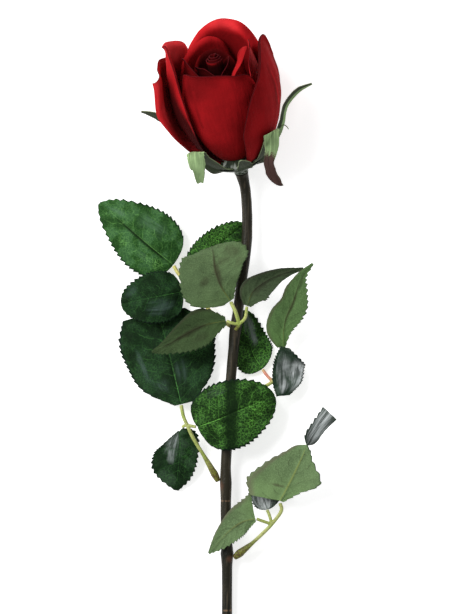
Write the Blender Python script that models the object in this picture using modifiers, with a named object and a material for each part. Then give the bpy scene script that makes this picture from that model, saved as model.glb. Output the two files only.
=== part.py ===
"""Rose bud on a long stem with five leaf sprigs, laid down on a surface.

The stem lies along Y with the bud at +Y, and +Z is up. All lengths below are
in millimetres, and MM turns them into metres.
"""
from math import cos, hypot, pi, radians, sin, sqrt

import bmesh
import bpy
from mathutils import Matrix, Vector

MM = 0.001

# Driving dimensions
CLOTH = 0.7                 # thickness of a petal or a leaf blade
SEPAL_CLEAR = 0.9           # from the outermost petals to the middle of a sepal's blade
SEPAL_LIFT = 3.4            # what is added to that at a sepal's tip
STEM_RADIUS = 2.35
NECK_RADIUS = 3.0
STALK_RADIUS = 0.95
REST_CUT = 40               # width of the block that flattens what rests on the surface
OUTLINE_MIDDLE = (0.0, -1.18)     # where the origin ends up, in the lengths below

# The bud: its base, and how it leans over the stem's end
BUD_BASE = (9.9, 84.7, 11.9)
BUD_TILT = radians(26)      # towards +Z
BUD_LEAN = radians(14)      # towards -X
WIDEST_HEIGHT = 38          # height over the base where the bud is widest
HEART_RADIUS = 4.6
LEVEL_STEP = 2.05           # from one layer of petals to the next
CLAW_RADIUS = 3.5           # of the innermost layer at its foot
CLAW_STEP = 0.41
FOOT_HEIGHT = 1.2           # of the outermost layer at its foot
FOOT_STEP = 1.1
TOP_LAYER = 11
BELLY = 0.7                 # 0.5 is a round belly, 1 a slimmer one
SHOULDER = 16               # height over which a petal's top closes in by CLOSING
CLOSING = 0.12

CORNER_CALM = 0.8           # share of the rim's roll that is gone at its two corners
MARGIN_OPENS = 34           # height at which a petal's side margin is fully rolled

PETAL_ROWS = 12
PETAL_COLUMNS = 8
LEAF_ROWS = 18
LEAF_COLUMNS = 4
TOOTH = 0.9
LEAF_END = 0.06             # a leaf's least width, as a share of its widest
LEAF_ENDS = (0.52, 0.68)    # how full its foot and tip are: 0.5 is round, 1 pointed

COLOURS = {
    "petal": ((0.24, 0.012, 0.018), 0.75),
    "heart": ((0.10, 0.006, 0.010), 0.80),
    "leaf": ((0.035, 0.085, 0.030), 0.60),
    "calyx": ((0.09, 0.13, 0.065), 0.65),
    "stem": ((0.030, 0.028, 0.018), 0.50),
    "stalk": ((0.38, 0.42, 0.16), 0.50),
}

# Each petal from the outermost in: its layer, the middle and half width of its
# foot in degrees round the bud (0 faces +Z, 90 faces +X), and its rim as pairs
# of angle and height. lean moves the top out, and a roll is a length and a turn
# in degrees for the rim and for the two side margins.
PETALS = {
    "petal_left_outer": dict(
        layer=10.7, rests=True, foot=(-118, 34), lean=0.7, rim_roll=(4, 40), left_roll=(3, 30), right_roll=(7, 110),
        rim=((-170, 34), (-158, 46), (-138, 50), (-118, 53), (-100, 54), (-82, 53), (-66, 51))),
    "petal_right": dict(
        layer=10.5, foot=(50, 34), lean=0.9, rim_roll=(4, 70), left_roll=(4, 35), right_roll=(4, 30),
        rim=((10, 24), (22, 38), (38, 47.5), (52, 56), (66, 61.5), (84, 58), (102, 46))),
    "petal_back_outer": dict(
        layer=9.5, foot=(150, 32), lean=0.5, rim_roll=(3, 20), left_roll=(3, 10), right_roll=(3, 10),
        rim=((102, 32), (112, 43), (130, 50), (150, 52), (170, 50), (190, 44), (202, 32))),
    "petal_left": dict(
        layer=9, foot=(-98, 32), lean=0.7, rim_roll=(4, 70), left_roll=(3, 20), right_roll=(4, 45),
        rim=((-156, 44), (-150, 55), (-123, 60.5), (-92, 63), (-72, 65.5), (-57, 55.5), (-44, 34))),
    "petal_back": dict(
        layer=8, foot=(155, 32), lean=-0.8, rim_roll=(6, 110), left_roll=(3, 30), right_roll=(3, 20),
        rim=((102, 42), (106, 53), (122, 61), (143, 64.5), (168, 64.3), (194, 59.5), (220, 49))),
    "petal_front": dict(
        layer=8, foot=(-5, 34), lean=-0.5, rim_roll=(3.5, 60), left_roll=(3, 10), right_roll=(3, 10),
        rim=((-58, 40), (-50, 53), (-33, 53.6), (-6, 52.2), (18, 50), (38, 47.4), (50, 38))),
    "petal_right_inner": dict(
        layer=7, foot=(80, 30), lean=-0.2, rim_roll=(3, 35), left_roll=(3, 10), right_roll=(3, 10),
        rim=((45, 36), (50, 48), (62, 53), (80, 56), (96, 56), (108, 50), (116, 38))),
    "petal_back_inner": dict(
        layer=6, foot=(205, 32), lean=0.0, rim_roll=(3.5, 60), left_roll=(3, 20), right_roll=(3, 20),
        rim=((150, 40), (158, 52), (180, 56.5), (205, 54.5), (228, 51), (248, 45), (258, 36))),
    "petal_left_inner": dict(
        layer=5, foot=(-72, 32), lean=0.0, rim_roll=(3, 40), left_roll=(3, 10), right_roll=(3, 10),
        rim=((-130, 38), (-120, 50), (-98, 55), (-72, 56), (-46, 53), (-25, 47), (-12, 36))),
    "petal_flap": dict(
        layer=4, foot=(75, 34), lean=0.6, rim_roll=(5, 120), left_roll=(3, 40), right_roll=(3, 20),
        rim=((14, 38), (24, 49), (48, 54), (75, 57), (100, 55), (124, 50), (136, 38))),
    "petal_core_back": dict(
        layer=3, foot=(185, 36), lean=0.0, rim_roll=(3, 40), left_roll=(2, 20), right_roll=(2, 20),
        rim=((115, 36), (130, 46), (158, 51), (185, 52), (212, 51), (240, 46), (255, 36))),
    "petal_core_left": dict(
        layer=2, foot=(-60, 40), lean=0.0, rim_roll=(2.5, 40), left_roll=(2, 20), right_roll=(2, 20),
        rim=((-140, 34), (-122, 45), (-92, 50), (-60, 51), (-28, 50), (2, 45), (20, 34))),
    "petal_core_right": dict(
        layer=1, foot=(80, 44), lean=0.0, rim_roll=(2, 30), left_roll=(2, 10), right_roll=(2, 10),
        rim=((-15, 34), (8, 45), (44, 49), (80, 51), (116, 50), (152, 45), (175, 34))),
}

# The stem's centre line from the bud to the cut end
STEM_LINE = (
    (11.05, 80.08, 9.58), (11.64, 77.7, 8.4), (12.6, 73.4, 7.3), (13.3, 67.0, 7.0), (13.6, 58, 7.0),
    (13.4, 50, 7.0), (12.5, 41, 7.1), (11.0, 30.5, 7.2), (9.5, 18.5, 7.3), (8.0, 7, 7.3), (7.0, -4, 7.2),
    (6.0, -15.5, 7.0), (5.0, -29, 6.6), (4.5, -42.5, 6.2), (4.0, -51.5, 5.9), (4.0, -62.5, 5.5),
    (4.0, -76, 5.0), (4.5, -87.5, 4.6), (4.5, -96, 4.3), (4.5, -114.5, 3.6), (4.6, -130, 3.0),
    (5.0, -150.5, 2.36))

# Leaf sprigs: the main stalk from the stem to its fork or terminal leaflet, and
# the side stalks from the fork
STALKS = {
    "stalk_upper_front": dict(
        main=((8.4, 9.6, 10.8), (9.7, 12.4, 11.7), (8.4, 17.5, 13.4), (6.2, 22.2, 14.4)),
        sides=(((9.6, 12.0, 11.6), (7.2, 12.6, 12.6), (4.4, 13.6, 13.2)),
               ((9.6, 12.0, 11.6), (12.6, 15.0, 12.8), (13.4, 20.0, 14.8)))),
    "stalk_upper_back": dict(
        main=((7.2, 10.5, 3.5), (-2.0, 17.0, 3.9), (-7.0, 23.5, 4.3), (-13.5, 30.0, 5.0),
              (-17.0, 34.5, 5.2), (-19.4, 38.4, 5.2)),
        sides=(((-13.5, 30.0, 5.0), (-12.5, 34.0, 4.4)),
               ((-13.5, 30.0, 5.0), (-15.0, 27.6, 5.0)))),
    "stalk_right": dict(
        main=((8.9, -22.9, 6.9), (16.0, -18.5, 5.6), (25.0, -13.5, 4.6), (28.4, -7.0, 5.8),
              (29.8, 1.4, 7.6)),
        sides=(((25.0, -13.5, 4.6), (22.4, -10.8, 3.8), (20.6, -8.2, 2.9)),
               ((25.0, -13.5, 4.6), (26.6, -13.2, 5.8)))),
    "stalk_left": dict(
        main=((0.6, -58.2, 6.8), (-1.6, -54.0, 7.6), (-6.0, -46.4, 8.8), (-10.5, -39.0, 9.6),
              (-13.3, -33.0, 9.4), (-15.0, -29.0, 8.4), (-16.0, -24.2, 7.2)),
        sides=(((-13.3, -33.0, 9.4), (-9.4, -33.8, 10.4)),
               ((-13.3, -33.0, 9.4), (-14.6, -33.3, 8.9), (-15.5, -34.0, 8.5)))),
    "stalk_lower_right": dict(
        main=((7.8, -92.6, 6.2), (11.0, -89.9, 7.0), (16.0, -85.8, 7.8), (20.5, -81.6, 8.2),
              (24.6, -77.4, 8.4), (28.8, -71.6, 9.0), (28.3, -68.0, 9.6)),
        sides=(((24.6, -77.4, 8.4), (21.0, -76.2, 8.8), (17.8, -75.0, 9.2)),
               ((24.6, -77.4, 8.4), (23.6, -73.6, 7.6), (22.6, -71.2, 6.6)))),
}
THICK_FEET = {"stalk_left": 1.7, "stalk_lower_right": 1.9}     # radius of a swollen foot

# Leaflets: spine from the stalk to the tip, half widths of the -s and +s halves
# (the widest, or widths at even steps along the spine), roll about the spine from
# foot to tip (180 shows the underside), fold of each half towards the upper side,
# and the edge's wave. Degrees and millimetres. sweep carries each half towards the
# tip, or back where it is below 0, as a share of its reach.
LEAVES = {
    "leaf_upper_front_terminal": dict(
        spine=((6.0, 22.7, 14.6), (2.0, 29.2, 17.3), (-0.6, 36.5, 18.6), (-1.6, 43.6, 16.6), (-2.4, 46.6, 10.5)),
        half=((2, 8.5, 13, 15, 3), (3.5, 16.5, 16.5, 12.5, 2)), sweep=(0, -0.08), roll=(180, 180), fold=(-6, -6),
        wave=0.6),
    "leaf_upper_front_left": dict(
        spine=((4.0, 13.7, 13.3), (-5.4, 11.8, 13.7), (-14.4, 7.3, 13.0), (-23.4, 2.2, 11.2), (-29.0, -0.2, 9.4)),
        half=((2, 8, 6, 2.4, 0.5), (2, 8.4, 8, 3.6, 0.5)), roll=(180, 180), fold=(-14, -14), wave=0.4),
    "leaf_upper_front_right": dict(
        spine=((13.5, 20.5, 14.2), (16.0, 26.6, 15.1), (21.8, 31.4, 15.4), (29.5, 35.0, 14.6), (38.6, 37.2, 12.8)),
        half=((2, 6.6, 5.6, 2.8, 0.5), (2, 6.4, 5.0, 2.6, 0.5)), roll=(185, 195, 205), fold=(-14, -14), wave=0.3),
    "leaf_upper_back_terminal": dict(
        spine=((-19.7, 38.8, 5.3), (-30.5, 47.5, 8.0), (-41.5, 57.0, 7.0), (-53.0, 66.4, 3.0)),
        half=(13.4, 16.2), ends=(0.45, 0.85), roll=(0, 0), fold=(-8, -8), wave=0.6),
    "leaf_upper_back_right": dict(
        spine=((-12.3, 34.6, 4.3), (-5.0, 42.0, 3.4), (3.5, 50.0, 2.5), (12.5, 57.0, 1.8)),
        half=(8.4, 10.5), roll=(0, 0), fold=(0, 0), wave=0.3),
    "leaf_upper_back_left": dict(
        spine=((-15.5, 26.7, 5.0), (-24.0, 25.0, 7.6), (-34.0, 23.0, 7.8), (-43.0, 21.3, 6.5)),
        half=(12.0, 11.4), ends=(0.42, 0.62), roll=(0, 0), fold=(-8, -6), wave=0.5),
    "leaf_right_terminal": dict(
        spine=((29.9, 1.9, 7.8), (29.9, 8.7, 9.6), (31.2, 15.2, 11.6), (34.0, 21.8, 13.9), (36.0, 28.0, 16.0),
               (38.0, 34.0, 18.0), (42.8, 39.3, 20.0)),
        half=((0.8, 3.4, 6.4, 7.0, 4.6, 2.2, 0.5), (3.0, 7.8, 8.0, 5.8, 5.2, 2.2, 0.5)),
        roll=(180, 180), fold=(-12, -12), wave=0.4),
    "leaf_right_inner": dict(
        spine=((20.4, -7.7, 2.7), (16.8, -2.5, 1.3), (14.0, 6.0, 0.56), (12.3, 18.5, 0.9)),
        half=(9.4, 9.4), roll=(0, 0), fold=(0, 0), wave=0.3),
    "leaf_right_outer": dict(
        spine=((27.6, -20.0, 9.2), (26.8, -12.6, 8.6), (27.2, -5.0, 10.9), (29.2, 2.2, 12.4)),
        half=((1.5, 2.6, 2.6, 2.2, 0.8), (5.5, 11.7, 12.9, 11.7, 3.5)), roll=(12, 12), fold=(-62, -6), wave=0.5),
    "leaf_left_terminal": dict(
        spine=((-16.1, -23.7, 7.0), (-19.5, -10.0, 4.0), (-23.0, 4.0, 1.9), (-27.0, 18.0, 1.05)),
        half=((3, 15.5, 19.5, 20.5, 16), (6, 17, 21, 21.5, 9)), roll=(0, 0), fold=(-2, -2), wave=0.4),
    "leaf_left_outer": dict(
        spine=((-16.7, -35.7, 7.8), (-16.4, -43.5, 7.6), (-17.3, -53.0, 5.4), (-18.2, -62.6, 2.0)),
        half=((1.2, 7.6, 8.2, 6.6, 0.8), (1.0, 7.8, 12.0, 11.0, 0.8)), sweep=(-1.0, 0), roll=(0, 0),
        fold=(-10, -10), wave=0.5),
    "leaf_left_inner": dict(
        spine=((-8.6, -33.7, 10.7), (1.6, -29.8, 12.8), (13.8, -24.6, 12.4), (26.0, -20.0, 10.0)),
        half=(15.2, 15.8), sweep=(-0.3, 0), roll=(0, 0), fold=(-5, -5), wave=0.6),
    "leaf_lower_right_terminal": dict(
        spine=((28.4, -66.8, 10.7), (31.5, -61.0, 12.2), (35.1, -53.4, 14.2), (38.8, -45.6, 15.8),
               (41.4, -40.2, 16.0), (45.6, -33.6, 15.0), (50.6, -27.6, 12.6)),
        half=((1.5, 6.0, 12.6, 4.2, 4.4, 3.6, 4.2), (13.6, 18.2, 13.6, 6.4, 4.0, 3.4, 4.2)), sweep=(0, -0.3),
        roll=(180, 180, 180, 162, 50, 15, 10), fold=(-6, -6), wave=0.5),
    "leaf_lower_right_left": dict(
        spine=((17.2, -75.1, 9.7), (11.0, -76.5, 11.0), (4.5, -81.3, 10.9), (-3.6, -90.4, 9.0)),
        half=((13.2, 9.0, 6.6, 4.0, 0.5), (1.2, 4.4, 5.6, 4.6, 0.5)), roll=(180, 180), fold=(-2, -8), wave=0.4),
    "leaf_lower_right_inner": dict(
        spine=((22.5, -70.8, 6.4), (21.5, -65.0, 5.4), (23.5, -58.0, 4.2), (28.0, -51.0, 3.0)),
        half=(6.5, 8.0), roll=(0, 0), fold=(-4, -4), wave=0.3),
}

# Sepals: spine from the cup to the tip, as lengths to the bud's side, along its
# lean and towards +Z from its base, then half widths along it, and the way its
# width runs, in the same three directions.
SEPALS = (
    dict(spine=((-5.2, -1.6, 2.4), (-9.4, -0.8, 6.2), (-12.8, 3.2, 11.4), (-15.2, 6.4, 14.8), (-16.8, 9.0, 19.2),
                (-18.0, 7.2, 24.0), (-18.8, 1.0, 23.4), (-20.0, -6.6, 18.6)),
         half=(3.0, 3.8, 3.8, 3.2, 3.2, 3.6, 3.8, 1.2), width=(1, 0.15, 0)),
    dict(spine=((5.9, -1.8, 3.0), (10.2, -1.0, 6.6), (13.6, 2.8, 12.0), (15.6, 7.2, 16.0), (16.8, 9.9, 18.4),
                (16.6, 8.8, 23.2), (15.4, 2.0, 22.4), (14.2, -5.0, 19.0), (15.2, -15.2, 12.8)),
         half=(3.0, 3.6, 3.8, 3.4, 3.4, 3.6, 3.7, 3.4, 0.7), width=(1, -0.15, 0)),
    dict(spine=((1.2, -3.0, 5.0), (1.8, -3.9, 10.4), (1.8, -1.2, 15.2), (0.4, 3.0, 18.9)),
         half=(2.8, 3.4, 3.0, 0.6), width=(1, 0, 0)),
    dict(spine=((5.8, -0.1, -1.6), (11.9, 1.8, -2.4), (19.2, 7.6, -0.5), (22.8, 12.5, 1.2), (26.4, 19.5, 3.0),
                (33.0, 24.5, 4.0), (40.0, 26.0, 4.5)),
         half=(2.8, 3.4, 3.0, 2.8, 2.4, 2.2, 0.8), width=(-0.35, 0.5, 0.8)),
    dict(spine=((-5.5, 0.2, -2.6), (-11.2, 3.4, -4.4), (-18.0, 11.6, -3.6), (-25.0, 22.3, -0.6),
                (-31.0, 29.0, 0.5), (-37.0, 32.5, 0.5)),
         half=(2.8, 3.2, 2.8, 2.4, 2.0, 0.5), width=(0.35, 0.5, 0.8)),
)
CUP_PROFILE = ((3.0, -5.0), (3.1, -3.8), (5.0, -2.4), (8.2, -1.0), (10.4, 0.2), (10.6, 0.7), (8.2, 0.3),
               (7.5, 0.4), (2.7, 13.4))


def clear_scene():
    for thing in list(bpy.data.objects):
        bpy.data.objects.remove(thing, do_unlink=True)


def make_material(name):
    colour, roughness = COLOURS[name]
    material = bpy.data.materials.new(name)
    material.use_nodes = True
    shader = material.node_tree.nodes["Principled BSDF"]
    shader.inputs["Base Color"].default_value = (*colour, 1)
    shader.inputs["Roughness"].default_value = roughness
    shader.inputs["Metallic"].default_value = 0
    return material


def put_in(collection, name, mesh, material):
    piece = bpy.data.objects.new(name, mesh)
    mesh.materials.append(material)
    collection.objects.link(piece)
    return piece


def smooth_read(points, place):
    """Reads a smooth curve through evenly spaced points at place, from 0 to 1."""
    last = len(points) - 1
    step = min(int(place * last), last - 1)
    part = place * last - step
    before = points[max(step - 1, 0)]
    start = points[step]
    end = points[step + 1]
    after = points[min(step + 2, last)]
    read = []
    for a, b, c, d in zip(before, start, end, after):
        read.append(b + 0.5 * part * (c - a + part * (2 * a - 5 * b + 4 * c - d + part * (3 * (b - c) + d - a))))
    return Vector(read)


def read_value(values, place):
    return smooth_read([(value, 0) for value in values], place).x


def bud_frame():
    """The bud's own directions: to its side, up its axis and to its front."""
    up = Vector((-sin(BUD_LEAN) * cos(BUD_TILT), cos(BUD_LEAN) * cos(BUD_TILT), sin(BUD_TILT)))
    side = Vector((cos(BUD_LEAN), sin(BUD_LEAN), 0))
    return side, up, side.cross(up)


def bud_point(side, height, front):
    across, up, forward = bud_frame()
    return Vector(BUD_BASE) + across * side + up * height + forward * front


def past_petals(point, clear):
    """Moves a point forward, or out on the bud's far side, until it is clear of the petals."""
    across, height, front = (axis.dot(point - Vector(BUD_BASE)) for axis in bud_frame())
    radius = hypot(across, front)
    least = petal_radius(TOP_LAYER, height, 0) + clear
    if height < FOOT_HEIGHT - CLOTH or radius > least:
        return point
    if front > 0:
        return bud_point(across, height, sqrt(least * least - across * across))
    return bud_point(across * least / radius, height, front * least / radius)


def lean_point(side, along, up):
    """A point by its place to the bud's side, along its lean and towards +Z."""
    across = Vector((cos(BUD_LEAN), sin(BUD_LEAN), 0))
    return Vector(BUD_BASE) + across * side + Vector((0, 0, 1)).cross(across) * along + Vector((0, 0, up))


def roll_edge(past, roll):
    """How far a rolled edge still runs on, and how far it has turned out."""
    length, turn = roll
    radius = length / radians(turn)
    return radius * sin(past / radius), radius * (1 - cos(past / radius))


def petal_radius(layer, height, lean):
    foot = FOOT_HEIGHT + (TOP_LAYER - layer) * FOOT_STEP
    claw = CLAW_RADIUS + layer * CLAW_STEP
    widest = HEART_RADIUS + layer * LEVEL_STEP
    if height < WIDEST_HEIGHT:
        share = (WIDEST_HEIGHT - height) / (WIDEST_HEIGHT - foot)
        return claw + (widest - claw) * max(0, 1 - share * share) ** BELLY
    rise = (height - WIDEST_HEIGHT) / SHOULDER
    return widest * (1 - CLOSING * rise ** 1.3) + lean * rise


def petal_point(petal, across, along):
    """A petal's surface, across from -1 to 1 and along from its foot to its rim."""
    layer = petal["layer"]
    across = sin(across * pi / 2)
    rim_angle, rim_height = smooth_read(petal["rim"], (across + 1) / 2)
    middle, foot_half = petal["foot"]
    foot = FOOT_HEIGHT + (TOP_LAYER - layer) * FOOT_STEP
    height = foot + (rim_height - foot) * sin(pi / 2 * along ** 1.3) ** 1.3
    spread = sin(pi / 2 * min(1, along * 1.15))
    angle = radians((middle + foot_half * across) * (1 - spread) + rim_angle * spread)
    out = 0
    past = height - (rim_height - petal["rim_roll"][0])
    if past > 0:
        run, out = roll_edge(past, petal["rim_roll"])
        height = height - past + run
        out *= 1 - CORNER_CALM * across ** 4
    radius = petal_radius(layer, height, petal["lean"])
    side_roll = petal["left_roll"] if across < 0 else petal["right_roll"]
    half_width = radius * radians(abs(petal["rim"][-1][0] - petal["rim"][0][0])) / 2
    past = side_roll[0] - (1 - abs(across)) * half_width
    if past > 0:
        run, turned = roll_edge(past, side_roll)
        fade = min(1, height / MARGIN_OPENS) ** 1.5
        out += turned * fade
        angle -= (past - run) * fade / radius * (1 if across > 0 else -1)
    radius += out
    return bud_point(radius * sin(angle), height, radius * cos(angle))


def cloth_piece(collection, name, rows, columns, place, material):
    """A sheet of CLOTH thickness, split into triangles alike on both faces."""
    bm = bmesh.new()
    bmesh.ops.create_grid(bm, x_segments=columns, y_segments=rows, size=1)
    for vert in bm.verts:
        vert.co = place(vert.co.x, (vert.co.y + 1) / 2) * MM
    mesh = bpy.data.meshes.new(name)
    bm.to_mesh(mesh)
    bm.free()
    mesh.shade_smooth()
    piece = put_in(collection, name, mesh, material)
    split = piece.modifiers.new("split", "TRIANGULATE")
    split.quad_method = "FIXED"
    wall = piece.modifiers.new("wall", "SOLIDIFY")
    wall.thickness = CLOTH * MM
    wall.offset = 0
    return piece


def leaf_width(along, ends=LEAF_ENDS):
    """A leaflet's half width as a share of its widest, from how full its two ends are."""
    foot, tip = ends
    highest = foot ** foot * tip ** tip / (foot + tip) ** (foot + tip)
    return max(LEAF_END, max(along, 0) ** foot * max(1 - along, 0) ** tip / highest)


def half_width(leaf, side, along):
    half = leaf["half"][side]
    if isinstance(half, tuple):
        return read_value(half, along)
    return half * leaf_width(along, leaf.get("ends", LEAF_ENDS))


def leaf_point(leaf, across, along):
    spine = leaf["spine"]
    step = 0.01
    centre = smooth_read(spine, along)
    ahead = smooth_read(spine, min(1, along + step)) - smooth_read(spine, max(0, along - step))
    ahead.normalize()
    up = Vector((0, 0, 1))
    up = (up - ahead * up.dot(ahead)).normalized()
    roll = radians(read_value(leaf["roll"], along))
    up = Matrix.Rotation(roll, 3, ahead) @ up
    side = ahead.cross(up)
    half = 0 if across < 0 else 1
    fold = radians(leaf["fold"][half])
    reach = abs(across) * half_width(leaf, half, along)
    if abs(across) > 0.99 and 0 < along < 1:
        row = round(along * LEAF_ROWS)
        reach += TOOTH * (0.5 if row % 2 else -0.5) * min(1, leaf_width(along) * 1.5)
    wave = leaf["wave"] * across * across * sin(along * 9 + (1.5 if across < 0 else 0)) * leaf_width(along)
    sign = -1 if across < 0 else 1
    sweep = leaf.get("sweep", (0, 0))[half] * (1 - along) ** 2
    swept = centre + ahead * sweep * reach
    return swept + side * sign * reach * cos(fold) + up * (reach * sin(fold) + wave)


def tube(collection, name, points, radii, material, steps):
    """A round stalk through points, its radius read from radii, with closed ends."""
    curve = bpy.data.curves.new(name, "CURVE")
    curve.dimensions = "3D"
    curve.bevel_depth = MM
    curve.bevel_resolution = 2
    curve.use_fill_caps = True
    spline = curve.splines.new("POLY")
    spline.points.add(steps)
    for index, point in enumerate(spline.points):
        place = index / steps
        point.co = (*(smooth_read(points, place) * MM), 1)
        point.radius = radii(place)
    loose = bpy.data.objects.new(name + "_curve", curve)
    collection.objects.link(loose)
    bpy.context.view_layer.update()
    graph = bpy.context.evaluated_depsgraph_get()
    mesh = bpy.data.meshes.new_from_object(loose.evaluated_get(graph))
    bpy.data.objects.remove(loose, do_unlink=True)
    bm = bmesh.new()
    bm.from_mesh(mesh)
    bmesh.ops.remove_doubles(bm, verts=bm.verts, dist=1e-5)
    bm.to_mesh(mesh)
    bm.free()
    mesh.materials.clear()
    mesh.shade_smooth()
    return put_in(collection, name, mesh, material)


def join(piece, others):
    """Joins the pieces in the others collection to piece by one Boolean union."""
    union = piece.modifiers.new("union", "BOOLEAN")
    union.operation = "UNION"
    union.solver = "EXACT"
    union.operand_type = "COLLECTION"
    union.collection = others
    bpy.context.view_layer.update()
    graph = bpy.context.evaluated_depsgraph_get()
    mesh = bpy.data.meshes.new_from_object(piece.evaluated_get(graph))
    piece.modifiers.clear()
    piece.data = mesh
    for other in list(others.objects):
        bpy.data.objects.remove(other, do_unlink=True)


def make_stem(rose, material):
    nodes = ((0.70, 0.35), (0.83, 0.6), (0.60, 0.3), (0.42, 0.3))

    def radius(place):
        swell = sum(size * max(0, 1 - abs(place - where) / 0.03) for where, size in nodes)
        neck = (NECK_RADIUS - STEM_RADIUS) * max(0, 1 - place / 0.09)
        return STEM_RADIUS + neck + swell

    tube(rose, "stem", STEM_LINE, radius, material, 52)


def make_stalks(rose, joined, material):
    for name, stalk in STALKS.items():
        swell = THICK_FEET.get(name, STALK_RADIUS) - STALK_RADIUS

        def radius(place, swell=swell):
            return STALK_RADIUS + swell * max(0, 1 - abs(place - 0.14) / 0.2)

        main = tube(rose, name, stalk["main"], radius, material, 3 * (len(stalk["main"]) - 1))
        for number, side in enumerate(stalk["sides"]):
            tube(joined, f"{name}_{number}", side, lambda place: STALK_RADIUS * 0.85, material,
                 2 * (len(side) - 1))
        join(main, joined)


def make_calyx(rose, joined, material):
    mesh = bpy.data.meshes.new("calyx")
    bm = bmesh.new()
    rim = [bm.verts.new((radius, 0, height)) for radius, height in ((0, CUP_PROFILE[0][1]), *CUP_PROFILE)]
    rim.append(bm.verts.new((0, 0, CUP_PROFILE[-1][1])))
    edges = [bm.edges.new(pair) for pair in zip(rim, rim[1:])]
    bmesh.ops.spin(bm, geom=rim + edges, cent=(0, 0, 0), axis=(0, 0, 1), angle=2 * pi, steps=20, use_merge=True)
    bmesh.ops.remove_doubles(bm, verts=bm.verts, dist=1e-4)
    bmesh.ops.recalc_face_normals(bm, faces=bm.faces)
    for vert in bm.verts:
        vert.co = bud_point(vert.co.x, vert.co.z, vert.co.y) * MM
    bmesh.ops.recalc_face_normals(bm, faces=bm.faces)
    bm.to_mesh(mesh)
    bm.free()
    cup = put_in(rose, "calyx", mesh, material)
    for number, sepal in enumerate(SEPALS):
        spine = [lean_point(*point) for point in sepal["spine"]]
        width = lean_point(*sepal["width"]) - Vector(BUD_BASE)

        def place(x, y, spine=spine, half=sepal["half"], width=width):
            ahead = (smooth_read(spine, min(1, y + 0.01)) - smooth_read(spine, max(0, y - 0.01))).normalized()
            side = (width - ahead * width.dot(ahead)).normalized()
            point = smooth_read(spine, y) + side * x * read_value(half, y)
            return past_petals(point, SEPAL_CLEAR + SEPAL_LIFT * y ** 3)

        cloth_piece(joined, f"sepal_{number}", 2 * len(spine), 2, place, material)
    join(cup, joined)


def rest_flat(piece, floor_block):
    """Cuts a small flat spot where a piece lies on the surface."""
    cut = piece.modifiers.new("rest", "BOOLEAN")
    cut.operation = "DIFFERENCE"
    cut.solver = "EXACT"
    cut.object = floor_block


def make_floor_block(cutters):
    bm = bmesh.new()
    bmesh.ops.create_cube(bm, size=REST_CUT * MM)
    middle = Vector((BUD_BASE[0], BUD_BASE[1] + REST_CUT / 2, -REST_CUT / 2)) * MM
    bmesh.ops.translate(bm, verts=bm.verts, vec=middle)
    mesh = bpy.data.meshes.new("floor_block")
    bm.to_mesh(mesh)
    bm.free()
    block = bpy.data.objects.new("floor_block", mesh)
    block.hide_render = True
    block.display_type = "WIRE"
    cutters.objects.link(block)
    return block


def make_heart(rose, material):
    foot, top, layers, sides = 13.75, 53.7, 12, 16
    bm = bmesh.new()
    bmesh.ops.create_uvsphere(bm, u_segments=sides, v_segments=layers, radius=1)
    for vert in bm.verts:
        height = (vert.co.z + 1) / 2
        turn = height * 2.4
        out = Vector((vert.co.x, vert.co.y)).length
        ridge = 1 + 0.08 * cos(3 * (Vector((1, 0)).angle_signed(Vector((vert.co.x, vert.co.y)), 0) + turn))
        spin = Matrix.Rotation(turn, 2) @ Vector((vert.co.x, vert.co.y)) * (HEART_RADIUS - 0.8) * ridge
        taper = 0.55 + 0.45 * min(1, height * 2.2)
        vert.co = bud_point(spin.x * taper, foot + (top - foot) * height, spin.y * taper) * MM
        if out < 1e-6:
            vert.co = bud_point(0, foot + (top - foot) * height, 0) * MM
    bmesh.ops.recalc_face_normals(bm, faces=bm.faces)
    mesh = bpy.data.meshes.new("heart")
    bm.to_mesh(mesh)
    bm.free()
    mesh.shade_smooth()
    put_in(rose, "heart", mesh, material)


def centre_on_origin(pieces):
    """Moves the pieces so that the middle of the rose's outline stands on the origin."""
    shift = Matrix.Translation(Vector((-OUTLINE_MIDDLE[0], -OUTLINE_MIDDLE[1], 0)) * MM)
    for piece in pieces:
        piece.data.transform(shift)


def build_rose():
    clear_scene()
    rose = bpy.data.collections.new("rose_bud")
    joined = bpy.data.collections.new("joined")
    cutters = bpy.data.collections.new("cutters")
    bpy.context.scene.collection.children.link(rose)
    bpy.context.scene.collection.children.link(cutters)
    bpy.context.scene.collection.children.link(joined)
    materials = {name: make_material(name) for name in COLOURS}
    make_stem(rose, materials["stem"])
    make_stalks(rose, joined, materials["stalk"])
    make_calyx(rose, joined, materials["calyx"])
    make_heart(rose, materials["heart"])
    floor_block = make_floor_block(cutters)
    for name, petal in PETALS.items():
        piece = cloth_piece(rose, name, PETAL_ROWS, PETAL_COLUMNS,
                            lambda x, y, petal=petal: petal_point(petal, x, y), materials["petal"])
        if petal.get("rests"):
            rest_flat(piece, floor_block)
    for name, leaf in LEAVES.items():
        cloth_piece(rose, name, LEAF_ROWS, LEAF_COLUMNS,
                    lambda x, y, leaf=leaf: leaf_point(leaf, x, y), materials["leaf"])
    bpy.data.collections.remove(joined)
    centre_on_origin([*rose.objects, floor_block])


build_rose()
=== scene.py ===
# Looks of the silk rose bud: petals, leaflets, calyx, stem and stalks with their finishes.
# Lengths are in mm. Each piece follows the shape of the solid that it replaces.
from functools import partial
from math import copysign, cos, exp, hypot, pi, radians, sin, sqrt

import bmesh
import bpy
from mathutils import Matrix, Vector, noise


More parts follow.
